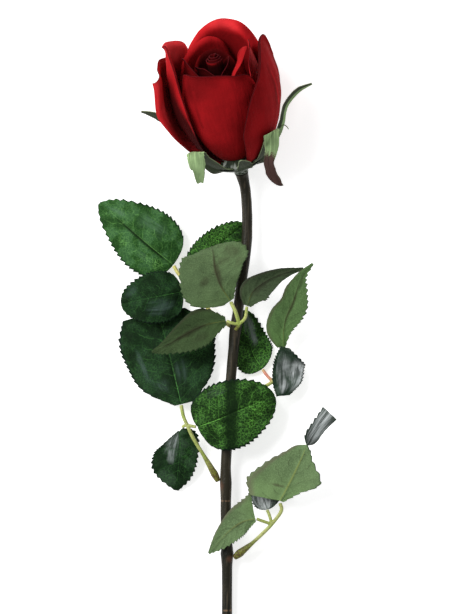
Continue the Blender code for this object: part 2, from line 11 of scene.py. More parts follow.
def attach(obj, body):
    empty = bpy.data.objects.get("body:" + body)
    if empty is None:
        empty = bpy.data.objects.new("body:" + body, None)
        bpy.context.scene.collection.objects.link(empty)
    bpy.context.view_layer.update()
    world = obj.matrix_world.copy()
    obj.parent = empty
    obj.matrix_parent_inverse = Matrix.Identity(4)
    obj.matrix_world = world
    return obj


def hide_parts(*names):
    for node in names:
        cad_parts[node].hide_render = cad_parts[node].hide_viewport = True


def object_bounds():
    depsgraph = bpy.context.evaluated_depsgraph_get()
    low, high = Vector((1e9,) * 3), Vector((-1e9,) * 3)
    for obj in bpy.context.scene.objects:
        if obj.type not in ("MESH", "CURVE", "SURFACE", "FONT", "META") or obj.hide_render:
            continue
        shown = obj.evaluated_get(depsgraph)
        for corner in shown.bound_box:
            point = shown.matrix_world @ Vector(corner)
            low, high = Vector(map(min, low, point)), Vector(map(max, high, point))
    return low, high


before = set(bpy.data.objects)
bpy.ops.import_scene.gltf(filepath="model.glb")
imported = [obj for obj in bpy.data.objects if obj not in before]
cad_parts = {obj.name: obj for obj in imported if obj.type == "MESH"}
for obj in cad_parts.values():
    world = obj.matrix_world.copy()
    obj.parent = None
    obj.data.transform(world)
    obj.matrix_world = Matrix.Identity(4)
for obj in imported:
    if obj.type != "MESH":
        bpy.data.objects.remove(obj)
cadLow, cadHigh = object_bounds()
mm = 0.001
originAt = Vector((0, -1.18, 0))    # where the frame's origin is, in the lengths below


# Curves and noise

def readCurve(points, place):
    # a smooth curve through evenly spaced points, at place from 0 to 1
    last = len(points) - 1
    step = min(int(place * last), last - 1)
    part = place * last - step
    around = (points[max(step - 1, 0)], points[step], points[step + 1], points[min(step + 2, last)])
    return Vector([b + 0.5 * part * (c - a + part * (2 * a - 5 * b + 4 * c - d
                                                     + part * (3 * (b - c) + d - a)))
                   for a, b, c, d in zip(*around)])


def readValue(values, place):
    return readCurve([(value, 0) for value in values], place).x


def readAhead(points, place):
    return (readCurve(points, min(1, place + 0.01)) - readCurve(points, max(0, place - 0.01))).normalized()


def ease(low, high, value):
    # 0 up to low, 1 from high on, smooth between
    part = min(1, max(0, (value - low) / (high - low)))
    return part * part * (3 - 2 * part)


def bumps(x, y, seed):
    # smooth noise from -1 to 1, one bump about 1 wide
    return noise.noise(Vector((x + 17.3 * seed, y - 9.1 * seed, 3.7 * seed)))


# Making pieces

def addPiece(bm, name, materials):
    mesh = bpy.data.meshes.new(name)
    bm.to_mesh(mesh)
    bm.free()
    for material in materials:
        mesh.materials.append(material)
    piece = bpy.data.objects.new(name, mesh)
    bpy.context.scene.collection.objects.link(piece)
    return piece


def finishPiece(bm, name, node, materials):
    piece = addPiece(bm, name, materials)
    piece.data.shade_smooth()
    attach(piece, "root")
    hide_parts(node)
    return piece


def bendGrid(columns, rows, place, spread, clothSize):
    # A grid bent into shape. Across runs from -1 to 1 and along from 0 to 1, and a
    # spread over 1 draws the columns towards the middle.
    bm = bmesh.new()
    bmesh.ops.create_grid(bm, x_segments=columns, y_segments=rows, size=1)
    for vert in bm.verts:
        vert.co.x = copysign(abs(vert.co.x) ** spread, vert.co.x)
    shapeMap = bm.loops.layers.uv.new("shape")
    clothMap = bm.loops.layers.uv.new("cloth")
    for face in bm.faces:
        for loop in face.loops:
            across = (loop.vert.co.x + 1) / 2
            along = (loop.vert.co.y + 1) / 2
            loop[shapeMap].uv = (across, along)
            loop[clothMap].uv = (across * clothSize[0], along * clothSize[1])
    for vert in bm.verts:
        vert.co = (place(vert.co.x, (vert.co.y + 1) / 2) - originAt) * mm
    return bm


def makeSheet(name, node, grid, place, materials, wall, clothSize=(40, 60), spread=1):
    # a thin cloth with one material on its outer side, one inside and one on its cut edge
    bm = bendGrid(*grid, place, spread, clothSize)
    for vert in bm.verts:
        vert.co.z = max(vert.co.z, wall * mm / 2)       # pressed flat where it lies on the floor
    piece = finishPiece(bm, name, node, materials)
    thick = piece.modifiers.new("wall", "SOLIDIFY")
    thick.thickness = wall * mm
    thick.offset = 0
    thick.material_offset = 1
    thick.material_offset_rim = 2


def makeSkin(columns, rows, place, clothSize=(15, 240)):
    # a closed skin: the grid's two sides meet, and its two ends close to points
    bm = bendGrid(columns, rows, place, 1, clothSize)
    bmesh.ops.remove_doubles(bm, verts=bm.verts, dist=0.004 * mm)
    bmesh.ops.recalc_face_normals(bm, faces=bm.faces)
    return bm


def makeTube(columns, rows, line, radius, wobble, clothSize=(15, 240)):
    # a round skin along a line, drawn in to a point over its first and last steps
    end = 0.012

    def place(across, along):
        inside = min(1, max(0, (along - end) / (1 - 2 * end)))
        centre = readCurve(line, inside)
        ahead = readAhead(line, inside)
        up = (Vector((0, 0, 1)) - ahead * ahead.z).normalized()
        side = ahead.cross(up)
        turn = pi * across
        closing = min(1, min(along, 1 - along) / end)
        reach = radius(inside) * sqrt(max(0, 1 - (1 - closing) ** 2)) + wobble(turn, inside) * closing
        return centre + side * sin(turn) * reach + up * cos(turn) * reach

    return makeSkin(columns, rows, place, clothSize)


# Nodes

def toned(colour, tone=1):
    # a colour with its alpha, times one number or one for each channel
    tones = tone if isinstance(tone, tuple) else (tone, tone, tone)
    return (*[min(1, channel * share) for channel, share in zip(colour, tones)], 1)


class Nodes:
    # adds nodes to one tree
    def __init__(self, tree):
        self.tree = tree

    def put(self, kind, inputs, **settings):
        # adds a node, gives its inputs values or links, and returns its outputs
        node = self.tree.nodes.new("ShaderNode" + kind)
        for key, value in settings.items():
            setattr(node, key, value)
        for key, value in inputs.items():
            if isinstance(value, bpy.types.NodeSocket):
                self.tree.links.new(value, node.inputs[key])
            else:
                node.inputs[key].default_value = value
        return node.outputs

    def use(self, group, **values):
        return self.put("Group", values, node_tree=group)

    def calc(self, operation, a, b=0.5, c=0.5):
        return self.put("Math", {0: a, 1: b, 2: c}, operation=operation)[0]

    def times(self, a, b):
        return self.calc("MULTIPLY", a, b)

    def apart(self, a, b):
        return self.calc("ABSOLUTE", self.calc("SUBTRACT", a, b))

    def vector(self, operation, a, b=(0, 0, 0), c=(0, 0, 0), output="Vector"):
        return self.put("VectorMath", {0: a, 1: b, 2: c}, operation=operation)[output]

    def split(self, vector):
        return self.put("SeparateXYZ", {0: vector})

    def fit(self, value, low, high, to=(0, 1)):
        # moves what lies from low to high smoothly to the two numbers in to
        return self.put("MapRange", {0: value, 1: low, 2: high, 3: to[0], 4: to[1]},
                        interpolation_type="SMOOTHSTEP")[0]

    def blend(self, share, a, b):
        return self.put("Mix", {0: share, 6: a, 7: b}, data_type="RGBA")[2]

    def cloud(self, vector, scale, detail, output=0, **more):
        return self.put("TexNoise", {"Vector": vector, "Scale": scale, "Detail": detail, **more})[output]

    def streaks(self, vector, stretch, detail, **more):
        return self.cloud(self.put("Mapping", {"Vector": vector, "Scale": stretch})[0], 1, detail, **more)


# Effects that several finishes share

class Effect(Nodes):
    # a node group with named inputs and outputs
    def __init__(self, name, vectors, numbers, results):
        super().__init__(bpy.data.node_groups.new(name, "ShaderNodeTree"))
        for labels, side, kind in ((vectors, "INPUT", "Vector"), (numbers, "INPUT", "Float"),
                                   (results, "OUTPUT", "Float")):
            for label in labels.split():
                self.tree.interface.new_socket(name=label, in_out=side, socket_type="NodeSocket" + kind)
        self.given = self.tree.nodes.new("NodeGroupInput").outputs[:-1]
        self.results = self.tree.nodes.new("NodeGroupOutput").inputs

    def give(self, label, value):
        self.tree.links.new(value, self.results[label])


def makeWeave():
    # over and under threads, from a map in mm
    fx = Effect("clothWeave", "Map", "Pitch", "Height")
    place, pitch = fx.given
    parts = fx.split(place)
    turn = fx.calc("DIVIDE", 2 * pi, pitch)
    warp = fx.calc("SINE", fx.times(parts[0], turn))
    weft = fx.calc("SINE", fx.times(parts[1], turn))
    fx.give("Height", fx.calc("MULTIPLY_ADD", warp, weft, 1))
    return fx.tree


def makeMottle():
    # broad patches and fine specks, from 0 to 1
    fx = Effect("mottle", "Position", "Patch Speck", "Patches Specks")
    place, *sizes = fx.given
    for size, label in zip(sizes, ("Patches", "Specks")):
        scale = fx.calc("DIVIDE", 1 / mm, size)
        fx.give(label, fx.fit(fx.cloud(place, scale, 3), 0.32, 0.68))
    return fx.tree


def makeLeafVeins():
    # midrib, side veins, edge and lengthwise streaks of a leaflet, from its shape map
    fx = Effect("leafVeins", "Map", "Count Slant", "Midrib Side Edge Streak")
    place, count, slant = fx.given
    waves = fx.cloud(place, 7, 2)
    parts = fx.split(place)
    fromRib = fx.calc("ABSOLUTE", fx.calc("MULTIPLY_ADD", parts[0], 2, -1))
    lean = fx.times(fx.calc("POWER", fromRib, 1.2), slant)
    straight = fx.times(fx.calc("SUBTRACT", parts[1], lean), count)
    row = fx.calc("MULTIPLY_ADD", waves, 0.9, straight)
    near = fx.apart(fx.calc("FRACT", row), 0.5)
    fade = fx.times(fx.fit(fromRib, 0.45, 0.85, (1, 0)), fx.fit(waves, 0.38, 0.6))
    fx.give("Midrib", fx.fit(fromRib, 0, 0.05, (1, 0)))
    fx.give("Side", fx.times(fx.fit(near, 0.44, 0.5), fade))
    fx.give("Edge", fx.fit(fromRib, 0.93, 1))
    fx.give("Streak", fx.streaks(place, (13, 2.4, 1), 5, Roughness=0.62, Distortion=0.5))
    return fx.tree


def makeVeinNet():
    # thin lines round small cells, and thinner ones round cells half that size
    fx = Effect("veinNet", "Position", "Cell", "Lines")
    place, cell = fx.given
    wide = fx.calc("DIVIDE", 1 / mm, cell)
    warp = fx.cloud(place, wide, 2, output=1)
    moved = fx.vector("MULTIPLY_ADD", warp, (0.6 * mm,) * 3, place)
    lines = []
    for share, width in ((1, 0.13), (2.1, 0.17)):
        edge = fx.put("TexVoronoi", {"Vector": moved, "Scale": fx.times(wide, share)},
                      feature="DISTANCE_TO_EDGE")["Distance"]
        lines.append(fx.fit(edge, 0, width, (1, 0)))
    fx.give("Lines", fx.calc("MAXIMUM", lines[0], fx.times(lines[1], 0.45)))
    return fx.tree


def makeSoftSpot():
    # a soft spot, 1 in its middle and 0 beyond its size
    fx = Effect("softSpot", "Map Middle Size", "", "Amount")
    place, middle, size = fx.given
    away = fx.vector("SUBTRACT", place, middle)
    length = fx.vector("LENGTH", fx.vector("DIVIDE", away, size), output="Value")
    fx.give("Amount", fx.fit(length, 0.2, 1, (1, 0)))
    return fx.tree


def makeSoftStroke():
    # a soft stroke on the shape map, 1 along its line and 0 beyond its width
    fx = Effect("softStroke", "Map From To", "Width", "Amount")
    place, start, end, width = fx.given
    line = fx.vector("SUBTRACT", end, start)
    away = fx.vector("SUBTRACT", place, start)
    share = fx.calc("DIVIDE", fx.vector("DOT_PRODUCT", away, line, output="Value"),
                    fx.vector("DOT_PRODUCT", line, line, output="Value"))
    share = fx.put("Clamp", {0: share})[0]
    nearest = fx.put("VectorMath", {0: line, "Scale": share}, operation="SCALE")[0]
    distance = fx.vector("DISTANCE", away, nearest, output="Value")
    fx.give("Amount", fx.fit(fx.calc("DIVIDE", distance, width), 0.15, 1, (1, 0)))
    return fx.tree


clothWeave = makeWeave()
mottle = makeMottle()
softSpot = makeSoftSpot()
softStroke = makeSoftStroke()
leafVeins = makeLeafVeins()
veinNet = makeVeinNet()
print("effects made")


class Coat(Nodes):
    # one material in the making: its shader, maps, patches and specks, and the colours so far
    def __init__(self, name, roughness, specular, patch, speck):
        self.material = bpy.data.materials.new(name)
        self.material.use_nodes = True
        super().__init__(self.material.node_tree)
        self.sockets = self.tree.nodes["Principled BSDF"].inputs
        self.sockets["Roughness"].default_value = roughness
        self.sockets["Specular IOR Level"].default_value = specular
        self.place = self.put("TexCoord", {})["Object"]
        self.shapeMap = self.put("UVMap", {}, uv_map="shape")[0]
        self.clothMap = self.put("UVMap", {}, uv_map="cloth")[0]
        self.across, self.along = self.split(self.shapeMap)[:2]
        self.patches, self.specks = self.use(mottle, Position=self.place, Patch=patch, Speck=speck)[:2]

    def start(self, share, dark, light):
        self.colours = self.blend(share, dark, light)

    def paint(self, share, colour, tone=1):
        # lays a colour, or another node's colours, over the colours so far
        over = colour if isinstance(colour, bpy.types.NodeSocket) else toned(colour, tone)
        self.colours = self.blend(share, self.colours, over)

    def spots(self, spots):
        # the strongest of several soft spots with a wandering edge
        wander = self.cloud(self.shapeMap, 6, 3, output=1)
        moved = self.vector("MULTIPLY_ADD", wander, (0.14, 0.14, 0), self.shapeMap)
        total = None
        for across, along, width, length, amount in spots:
            spot = self.use(softSpot, Map=moved, Middle=(across + 0.07, along + 0.07, 0),
                            Size=(width, length, 1))[0]
            spot = self.times(spot, amount)
            total = spot if total is None else self.calc("MAXIMUM", total, spot)
        return total

    def finish(self, *heights, roughness=None):
        # heights are pairs of a height socket and its depth in mm
        raised = {}
        for height, depth in heights:
            raised["Normal"] = self.put("Bump", {"Height": height, "Distance": depth * mm, "Strength": 1,
                                                 **raised})[0]
        self.tree.links.new(raised["Normal"], self.sockets["Normal"])
        self.tree.links.new(self.colours, self.sockets["Base Color"])
        if roughness:
            self.tree.links.new(roughness, self.sockets["Roughness"])
        return self.material


# Petals

petalCloth = {
    "colour": (0.3, 0.0062, 0.0085),
    "dark": 0.8,
    "light": 1.12,
    "foot": (0.15, 0.0038, 0.006),          # painted shade where a petal goes into the cup
    "edge": (0.05, 0.0018, 0.0032),         # cut edge
    "threadPitch": 0.32,
    "threadDepth": 0.012,
}
# Painted light and shade: how bright a petal's body and its rolled lip are painted, lit or
# shaded for how light reaches them in the bud, and from where to where along it the one
# turns into the other
petalPaintedShading = {
    "plain": (0.92, 1.1, 0.8, 0.92),
    "dim": (0.8, 0.85, 0.8, 0.92),
    "bright": (1.6, 2, 0.75, 0.9),
    "rolling": (0.13, 1.1, 0.56, 0.72),
    "inside": (0.66, 1.6, 0.74, 0.86),
    "lit": (0.85, 1.25, 0.8, 0.92),
    "shaded": (0.6, 0.8, 0.8, 0.92),
    "shadier": (0.4, 0.55, 0.85, 0.95),
    "deep": (0.13, 0.22, 0.85, 0.97),
    "curl": (0.05, 0.24, 0.93, 1),
}


def makePetalMaterial(name, look, lightAndShadeStrokes=()):
    coat = Coat(name, 0.9, 0.05, 14, 1.1)
    crease = coat.streaks(coat.clothMap, (0.55, 0.05, 1), 4)
    colour = petalCloth["colour"]
    coat.start(coat.patches, toned(colour, petalCloth["dark"]), toned(colour, petalCloth["light"]))
    coat.paint(coat.fit(crease, 0.52, 0.75, (0, 0.3)), colour, 0.6)
    coat.paint(coat.fit(coat.specks, 0.4, 1, (0, 0.1)), colour, petalCloth["light"])
    # painted light and shade: the body and rolled lip are painted lighter or darker for how light falls on
    # them
    body, lip, lipFrom, lipTo = petalPaintedShading[look]
    value = coat.fit(coat.along, lipFrom, lipTo, (body, lip))
    # strokes of painted highlight and painted shade laid over the body and lip
    for fromAcross, fromAlong, toAcross, toAlong, width, amount in lightAndShadeStrokes:
        share = coat.use(softStroke, Map=coat.shapeMap, From=(fromAcross, fromAlong, 0),
                         To=(toAcross, toAlong, 0), Width=width)[0]
        value = coat.calc("MULTIPLY_ADD", share, coat.calc("SUBTRACT", amount, value), value)
    # the brightest painted light is a little less saturated
    strength = coat.fit(value, 0.9, 2.6, (1, 0.965))
    coat.colours = coat.put("HueSaturation", {"Color": coat.colours, "Value": value,
                                              "Saturation": strength})[0]
    # painted shade: each petal darkens towards its foot in the cup
    coat.paint(coat.fit(coat.along, 0, 0.25, (0.6, 0)), petalCloth["foot"])
    fromSide = coat.calc("ABSOLUTE", coat.calc("MULTIPLY_ADD", coat.across, 2, -1))
    sides = coat.fit(coat.calc("SUBTRACT", 1, fromSide), 0, 0.025, (1, 0))
    lines = coat.calc("MAXIMUM", coat.fit(coat.along, 0.982, 1), sides)
    coat.paint(coat.times(lines, 0.8), petalCloth["edge"])
    weave = coat.use(clothWeave, Map=coat.clothMap, Pitch=petalCloth["threadPitch"])[0]
    return coat.finish((weave, petalCloth["threadDepth"]), (crease, 0.5), (coat.specks, 0.03))


def makeEdgeMaterial(name, colour, roughness):
    coat = Coat(name, roughness, 0.1, 4, 0.5)
    coat.start(coat.specks, toned(colour), toned(colour, 1.8))
    return coat.finish((coat.specks, 0.05))


bud = {
    "base": Vector((9.9, 84.7, 11.9)),
    "tilt": radians(26),            # towards +Z
    "lean": radians(14),            # towards -X
    "widest": 38,                   # height where the bud is widest
    "heartRadius": 4.6,
    "levelStep": 2.05,              # from one layer of petals to the next
    "clawRadius": 3.5,              # of a petal's narrow foot
    "clawStep": 0.41,
    "footHeight": 1.2,
    "footStep": 1.1,
    "topLayer": 11,
    "belly": 0.7,                   # how full the bud is below its widest
    "shoulder": 16,                 # height over which it closes in again
    "closing": 0.12,
    "cornerCalm": 0.8,              # how much less a rim rolls at its corners
    "marginOpens": 34,              # height where a side margin is rolled in full
}
budSide = Vector((cos(bud["lean"]), sin(bud["lean"]), 0))
budAlong = Vector((0, 0, 1)).cross(budSide)
budUp = Vector((-sin(bud["lean"]) * cos(bud["tilt"]), cos(bud["lean"]) * cos(bud["tilt"]), sin(bud["tilt"])))
budFront = budSide.cross(budUp)

# Each petal from the outermost in: layer, the middle and half width of its foot in
# degrees round the bud, how far it leans out above its widest, how its rim, left and
# right side roll as length and turn, and its rim as angle and height. Then the painted
# light and shade of its outer and inner side, and the strokes of painted highlight and
# painted shade on each: from where to where, as across and along, width, and how bright.
petals = {
    "petal_left_outer": dict(
        layer=10.7, foot=(-118, 34), lean=0.7, rolls=((4, 40), (3, 30), (7, 110)),
        rim=((-170, 34), (-158, 46), (-138, 50), (-118, 53), (-100, 54), (-82, 53), (-66, 51)),
        looks=("plain", "bright"),
        inside=((0.52, 0.95, 0.56, 0.78, 0.16, 0.8), (0.72, 0.62, 0.66, 0.3, 0.15, 3),
                (0.5, 0.62, 0.5, 0.25, 0.07, 0.5))),
    "petal_right": dict(
        layer=10.5, foot=(50, 34), lean=0.9, rolls=((4, 70), (4, 35), (4, 30)),
        rim=((10, 24), (22, 38), (38, 47.5), (52, 56), (66, 61.5), (84, 58), (102, 46)),
        looks=("dim", "deep"),
        outside=((0.64, 0.82, 0.7, 0.62, 0.07, 0.95), (0.59, 0.63, 0.63, 0.46, 0.022, 1.3),
                 (0.57, 0.68, 0.6, 0.46, 0.03, 0.62))),
    "petal_back_outer": dict(
        layer=9.5, foot=(150, 32), lean=0.5, rolls=((3, 20), (3, 10), (3, 10)),
        rim=((102, 32), (112, 43), (130, 50), (150, 52), (170, 50), (190, 44), (202, 32)),
        looks=("plain", "deep")),
    "petal_left": dict(
        layer=9, foot=(-98, 32), lean=0.7, rolls=((4, 52), (3, 8), (4, 45)),
        rim=((-156, 44), (-150, 55), (-123, 60.5), (-92, 63), (-72, 65.5), (-57, 55.5), (-44, 34)),
        looks=("rolling", "shaded"),
        outside=((0.4, 0.95, 0.46, 0.72, 0.1, 1.6), (0.84, 0.7, 0.88, 0.62, 0.06, 0.8)),
        inside=((0.34, 0.84, 0.46, 0.88, 0.22, 3), (0.66, 0.9, 0.62, 0.8, 0.1, 1.3))),
    "petal_back": dict(
        layer=8, foot=(155, 32), lean=-0.8, rolls=((6, 110), (3, 30), (3, 20)),
        rim=((102, 42), (106, 53), (122, 61), (143, 64.5), (168, 64.3), (194, 59.5), (220, 49)),
        looks=("bright", "inside"),
        inside=((0.6, 0.86, 0.48, 0.83, 0.09, 1.9), (0.72, 0.9, 0.68, 0.8, 0.08, 1.2),
                (0.37, 0.92, 0.27, 0.8, 0.11, 0.85))),
    "petal_front": dict(
        layer=8, foot=(-5, 34), lean=-0.5, rolls=((3.5, 60), (3, 10), (3, 10)),
        rim=((-58, 40), (-50, 53), (-33, 53.6), (-6, 52.2), (18, 50), (38, 47.4), (50, 38)),
        looks=("plain", "deep"),
        outside=((0.33, 0.72, 0.4, 0.82, 0.16, 0.55), (0.04, 0.62, 0.08, 0.25, 0.1, 0.3),
                 (0.08, 0.98, 0.15, 0.8, 0.05, 1.6), (0.28, 0.965, 0.4, 0.975, 0.022, 2),
                 (0.36, 0.72, 0.34, 0.48, 0.025, 0.66))),
    "petal_right_inner": dict(
        layer=7, foot=(80, 30), lean=-0.2, rolls=((3, 35), (3, 10), (3, 10)),
        rim=((45, 36), (50, 48), (62, 53), (80, 56), (96, 56), (108, 50), (116, 38)),
        looks=("bright", "inside"),
        outside=((0.46, 0.9, 0.46, 0.78, 0.1, 2.8),)),
    "petal_back_inner": dict(
        layer=6, foot=(205, 32), lean=0, rolls=((3.5, 60), (3, 20), (3, 20)),
        rim=((150, 40), (158, 52), (180, 56.5), (205, 54.5), (228, 51), (248, 45), (258, 36)),
        looks=("shaded", "lit"),
        inside=((0.2, 0.95, 0.3, 0.8, 0.14, 0.5),)),
    "petal_left_inner": dict(
        layer=5, foot=(-72, 32), lean=0, rolls=((3, 40), (3, 10), (3, 10)),
        rim=((-130, 38), (-120, 50), (-98, 55), (-72, 56), (-46, 53), (-25, 47), (-12, 36)),
        looks=("shadier", "deep")),
    "petal_flap": dict(
        layer=4, foot=(75, 34), lean=0.6, rolls=((5, 120), (3, 40), (3, 20)),
        rim=((14, 38), (24, 49), (48, 54), (75, 57), (100, 55), (124, 50), (136, 38)),
        looks=("bright", "lit")),
    "petal_core_back": dict(
        layer=3, foot=(185, 36), lean=0, rolls=((3, 40), (2, 20), (2, 20)),
        rim=((115, 36), (130, 46), (158, 51), (185, 52), (212, 51), (240, 46), (255, 36)),
        looks=("deep", "deep"),
        inside=((0.66, 0.98, 0.72, 0.9, 0.1, 0.6),)),
    "petal_core_left": dict(
        layer=2, foot=(-60, 40), lean=0, rolls=((2.5, 40), (2, 20), (2, 20)),
        rim=((-140, 34), (-122, 45), (-92, 50), (-60, 51), (-28, 50), (2, 45), (20, 34)),
        looks=("deep", "deep")),
    "petal_core_right": dict(
        layer=1, foot=(80, 44), lean=0, rolls=((2, 30), (2, 10), (2, 10)),
        rim=((-15, 34), (8, 45), (44, 49), (80, 51), (116, 50), (152, 45), (175, 34)),
        looks=("deep", "deep")),
}
petalShape = {
    "grid": (48, 72),
    "wall": 0.34,
    "creaseDepth": 0.16,        # long creases from the press
    "creaseSize": (2.6, 17),
    "dentDepth": 0.34,          # broad dents
    "dentSize": (8, 10),
    "rippleDepth": 0.45,        # waves at the rim
    "rippleSize": (5.5, 14),
    "rippleReach": 9,
    "plainBelow": 6,            # height below which a petal has no creases, and from
    "creasedAbove": 26,         # which it has them in full
    "rimStray": 0.5,            # how far the cut rim wanders
}


def budPoint(side, height, front):
    return bud["base"] + budSide * side + budUp * height + budFront * front


def roundBud(turn, height, radius):
    return budPoint(radius * sin(turn), height, radius * cos(turn))


def petalFoot(layer):
    return bud["footHeight"] + (bud["topLayer"] - layer) * bud["footStep"]


def petalRadius(layer, height, lean):
    foot = petalFoot(layer)
    claw = bud["clawRadius"] + layer * bud["clawStep"]
    widest = bud["heartRadius"] + layer * bud["levelStep"]
    if height < bud["widest"]:
        share = (bud["widest"] - height) / (bud["widest"] - foot)
        return claw + (widest - claw) * max(0, 1 - share * share) ** bud["belly"]
    rise = (height - bud["widest"]) / bud["shoulder"]
    return widest * (1 - bud["closing"] * rise ** 1.3) + lean * rise


def rollEdge(past, roll):
    # how far a rolled edge runs on, and how far it has turned out
    radius = roll[0] / radians(roll[1])
    return radius * sin(past / radius), radius * (1 - cos(past / radius))


def petalPoint(petal, seed, across, along):
    shape = petalShape
    across = sin(across * pi / 2)
    rimAngle, rimHeight = readCurve(petal["rim"], (across + 1) / 2)
    rimHeight += shape["rimStray"] * bumps(across * 2.6, 0, seed) * (1 - across ** 4)
    foot = petalFoot(petal["layer"])
    height = foot + (rimHeight - foot) * sin(pi / 2 * along ** 1.3) ** 1.3
    spread = sin(pi / 2 * min(1, along * 1.15))
    angle = radians((petal["foot"][0] + petal["foot"][1] * across) * (1 - spread) + rimAngle * spread)
    out = 0
    rimRoll, *sideRolls = petal["rolls"]
    past = height - (rimHeight - rimRoll[0])
    if past > 0:
        run, out = rollEdge(past, rimRoll)
        height = height - past + run
        out *= 1 - bud["cornerCalm"] * across ** 4
    radius = petalRadius(petal["layer"], height, petal["lean"])
    sideRoll = sideRolls[0 if across < 0 else 1]
    halfWidth = radius * radians(abs(petal["rim"][-1][0] - petal["rim"][0][0])) / 2
    past = sideRoll[0] - (1 - abs(across)) * halfWidth
    if past > 0:
        run, turned = rollEdge(past, sideRoll)
        fade = min(1, height / bud["marginOpens"]) ** 1.5
        out += turned * fade
        angle -= (past - run) * fade / radius * (1 if across > 0 else -1)

    def waves(name, more):
        wide, high = shape[name + "Size"]
        return shape[name + "Depth"] * bumps(radius * angle / wide, height / high, seed + more)

    grown = ease(shape["plainBelow"], shape["creasedAbove"], height)
    out += grown * waves("crease", 0)
    out += grown * waves("dent", 40)
    out += ease(rimHeight - shape["rippleReach"], rimHeight, height) * waves("ripple", 80)
    return roundBud(angle, height, radius + out)


heart = {
    "foot": 13.9,
    "top": 53.6,
    "turns": 3.1,
    "innerRadius": 0.55,
    "outerRadius": 3.75,
    "drop": 2.6,            # how much lower the outer end of the roll is
    "narrow": 0.6,          # its radius at the foot, as a share
    "stray": 0.45,          # how far its cut edge wanders
    "curl": 0.45,           # how far its inmost edge turns out
    "grid": (150, 44),
    "cloth": (70, 40),      # size of its cloth map
}


def heartPoint(across, along):
    # a strip rolled up round the bud's axis
    part = (across + 1) / 2
    turn = 2 * pi * heart["turns"] * part + 0.6
    radius = heart["innerRadius"] + (heart["outerRadius"] - heart["innerRadius"]) * part ** 0.85
    top = heart["top"] - heart["drop"] * part + heart["stray"] * bumps(part * 9, 0, 5)
    height = heart["foot"] + (top - heart["foot"]) * along
    radius *= heart["narrow"] + (1 - heart["narrow"]) * ease(0, 0.5, along)
    radius += heart["curl"] * ease(top - 2.2, top, height) * (1 - part)
    return roundBud(turn, height, radius)


def makePetals():
    edge = makeEdgeMaterial("petalEdge", petalCloth["edge"], 0.9)
    for seed, (name, petal) in enumerate(petals.items()):
        sides = [makePetalMaterial(name + "_" + side, look, petal.get(side, ()))
                 for side, look in zip(("outside", "inside"), petal["looks"])]
        makeSheet(name + "_cloth", name, petalShape["grid"], partial(petalPoint, petal, seed),
                  [*sides, edge], petalShape["wall"])
    # the rolled heart is painted in deep shade, a little lighter along its top, with one painted highlight
    # stroke near the roll's outer end
    curl = makePetalMaterial("heart_outside", "curl", [(0.86, 0.995, 0.93, 0.985, 0.022, 0.7)])
    deep = makePetalMaterial("heart_inside", "deep")
    makeSheet("heart_roll", "heart", heart["grid"], heartPoint, [curl, deep, edge],
              petalShape["wall"], heart["cloth"])
    print("petals made")


# Leaflets

leafShape = {
    "grid": (34, 108),
    "cloth": (30, 46),
    "spread": 1.3,
    "wall": 0.34,
    "teeth": 17,
    "toothDepth": 0.95,
    "toothPeak": 0.78,          # where a tooth is highest, as a share of its length
    "veins": 8,
    "veinSlant": 0.24,
    "pucker": 0.1,              # how far the cloth stands up between side veins
    "groove": 0.34,             # depth of the midrib
    "grooveWidth": 0.6,
    "dent": 0.55,
    "leastWidth": 0.06,         # as a share of the widest
    "ends": (0.52, 0.68),       # how full the foot and the tip are: 0.5 is round, 1 pointed
}

leafMarks = {
    "cut": (0.012, 0.022, 0.012),           # cut edge
    "margin": (0.006, 0.014, 0.01),         # upper side beside it
    "ribFoot": (0.15, 0.185, 0.042),
    "paleRib": (0.2, 0.25, 0.075),
}

# Finishes of the upper side: printed colours and vein net, with painted sheen and painted
# shade. net is how much of the fine vein net shows, rib and ribWide how dark and how wide
# the painted shade along the midrib groove is, ribLight a light line on the midrib by the
# foot, silver the colour of the painted sheen, and sheen how much of it lies in broad patches
uppers = {
    "vivid": dict(base=(0.004, 0.019, 0.003), line=(0.115, 0.34, 0.05), net=0.74, cell=1.4, rib=0.6,
                  ribWide=0.05, ribLight=1, silver=(0.1, 0.14, 0.11), sheen=0.05),
    "soft": dict(base=(0.014, 0.062, 0.011), line=(0.14, 0.34, 0.08), net=0.5, cell=1.5, rib=0.95,
                 ribWide=0.1, ribLight=0.6, silver=(0.085, 0.175, 0.095), sheen=0.4),
    "dark": dict(base=(0.006, 0.021, 0.0065), line=(0.045, 0.15, 0.032), net=0.42, cell=1.4, rib=0.3,
                 ribWide=0.05, ribLight=1.1, silver=(0.05, 0.085, 0.07), sheen=0.1),
    "silvery": dict(base=(0.008, 0.023, 0.011), line=(0.06, 0.11, 0.06), net=0.35, cell=1.6, rib=0.5,
                    ribWide=0.06, ribLight=0.2, silver=(0.56, 0.6, 0.6), sheen=0.08),
}
undersides = {
    "pale": (0.088, 0.14, 0.06),
    "shaded": (0.041, 0.07, 0.026),
    "grey": (0.052, 0.08, 0.038),
    "green": (0.086, 0.158, 0.054),
    "light": (0.135, 0.21, 0.092),
}
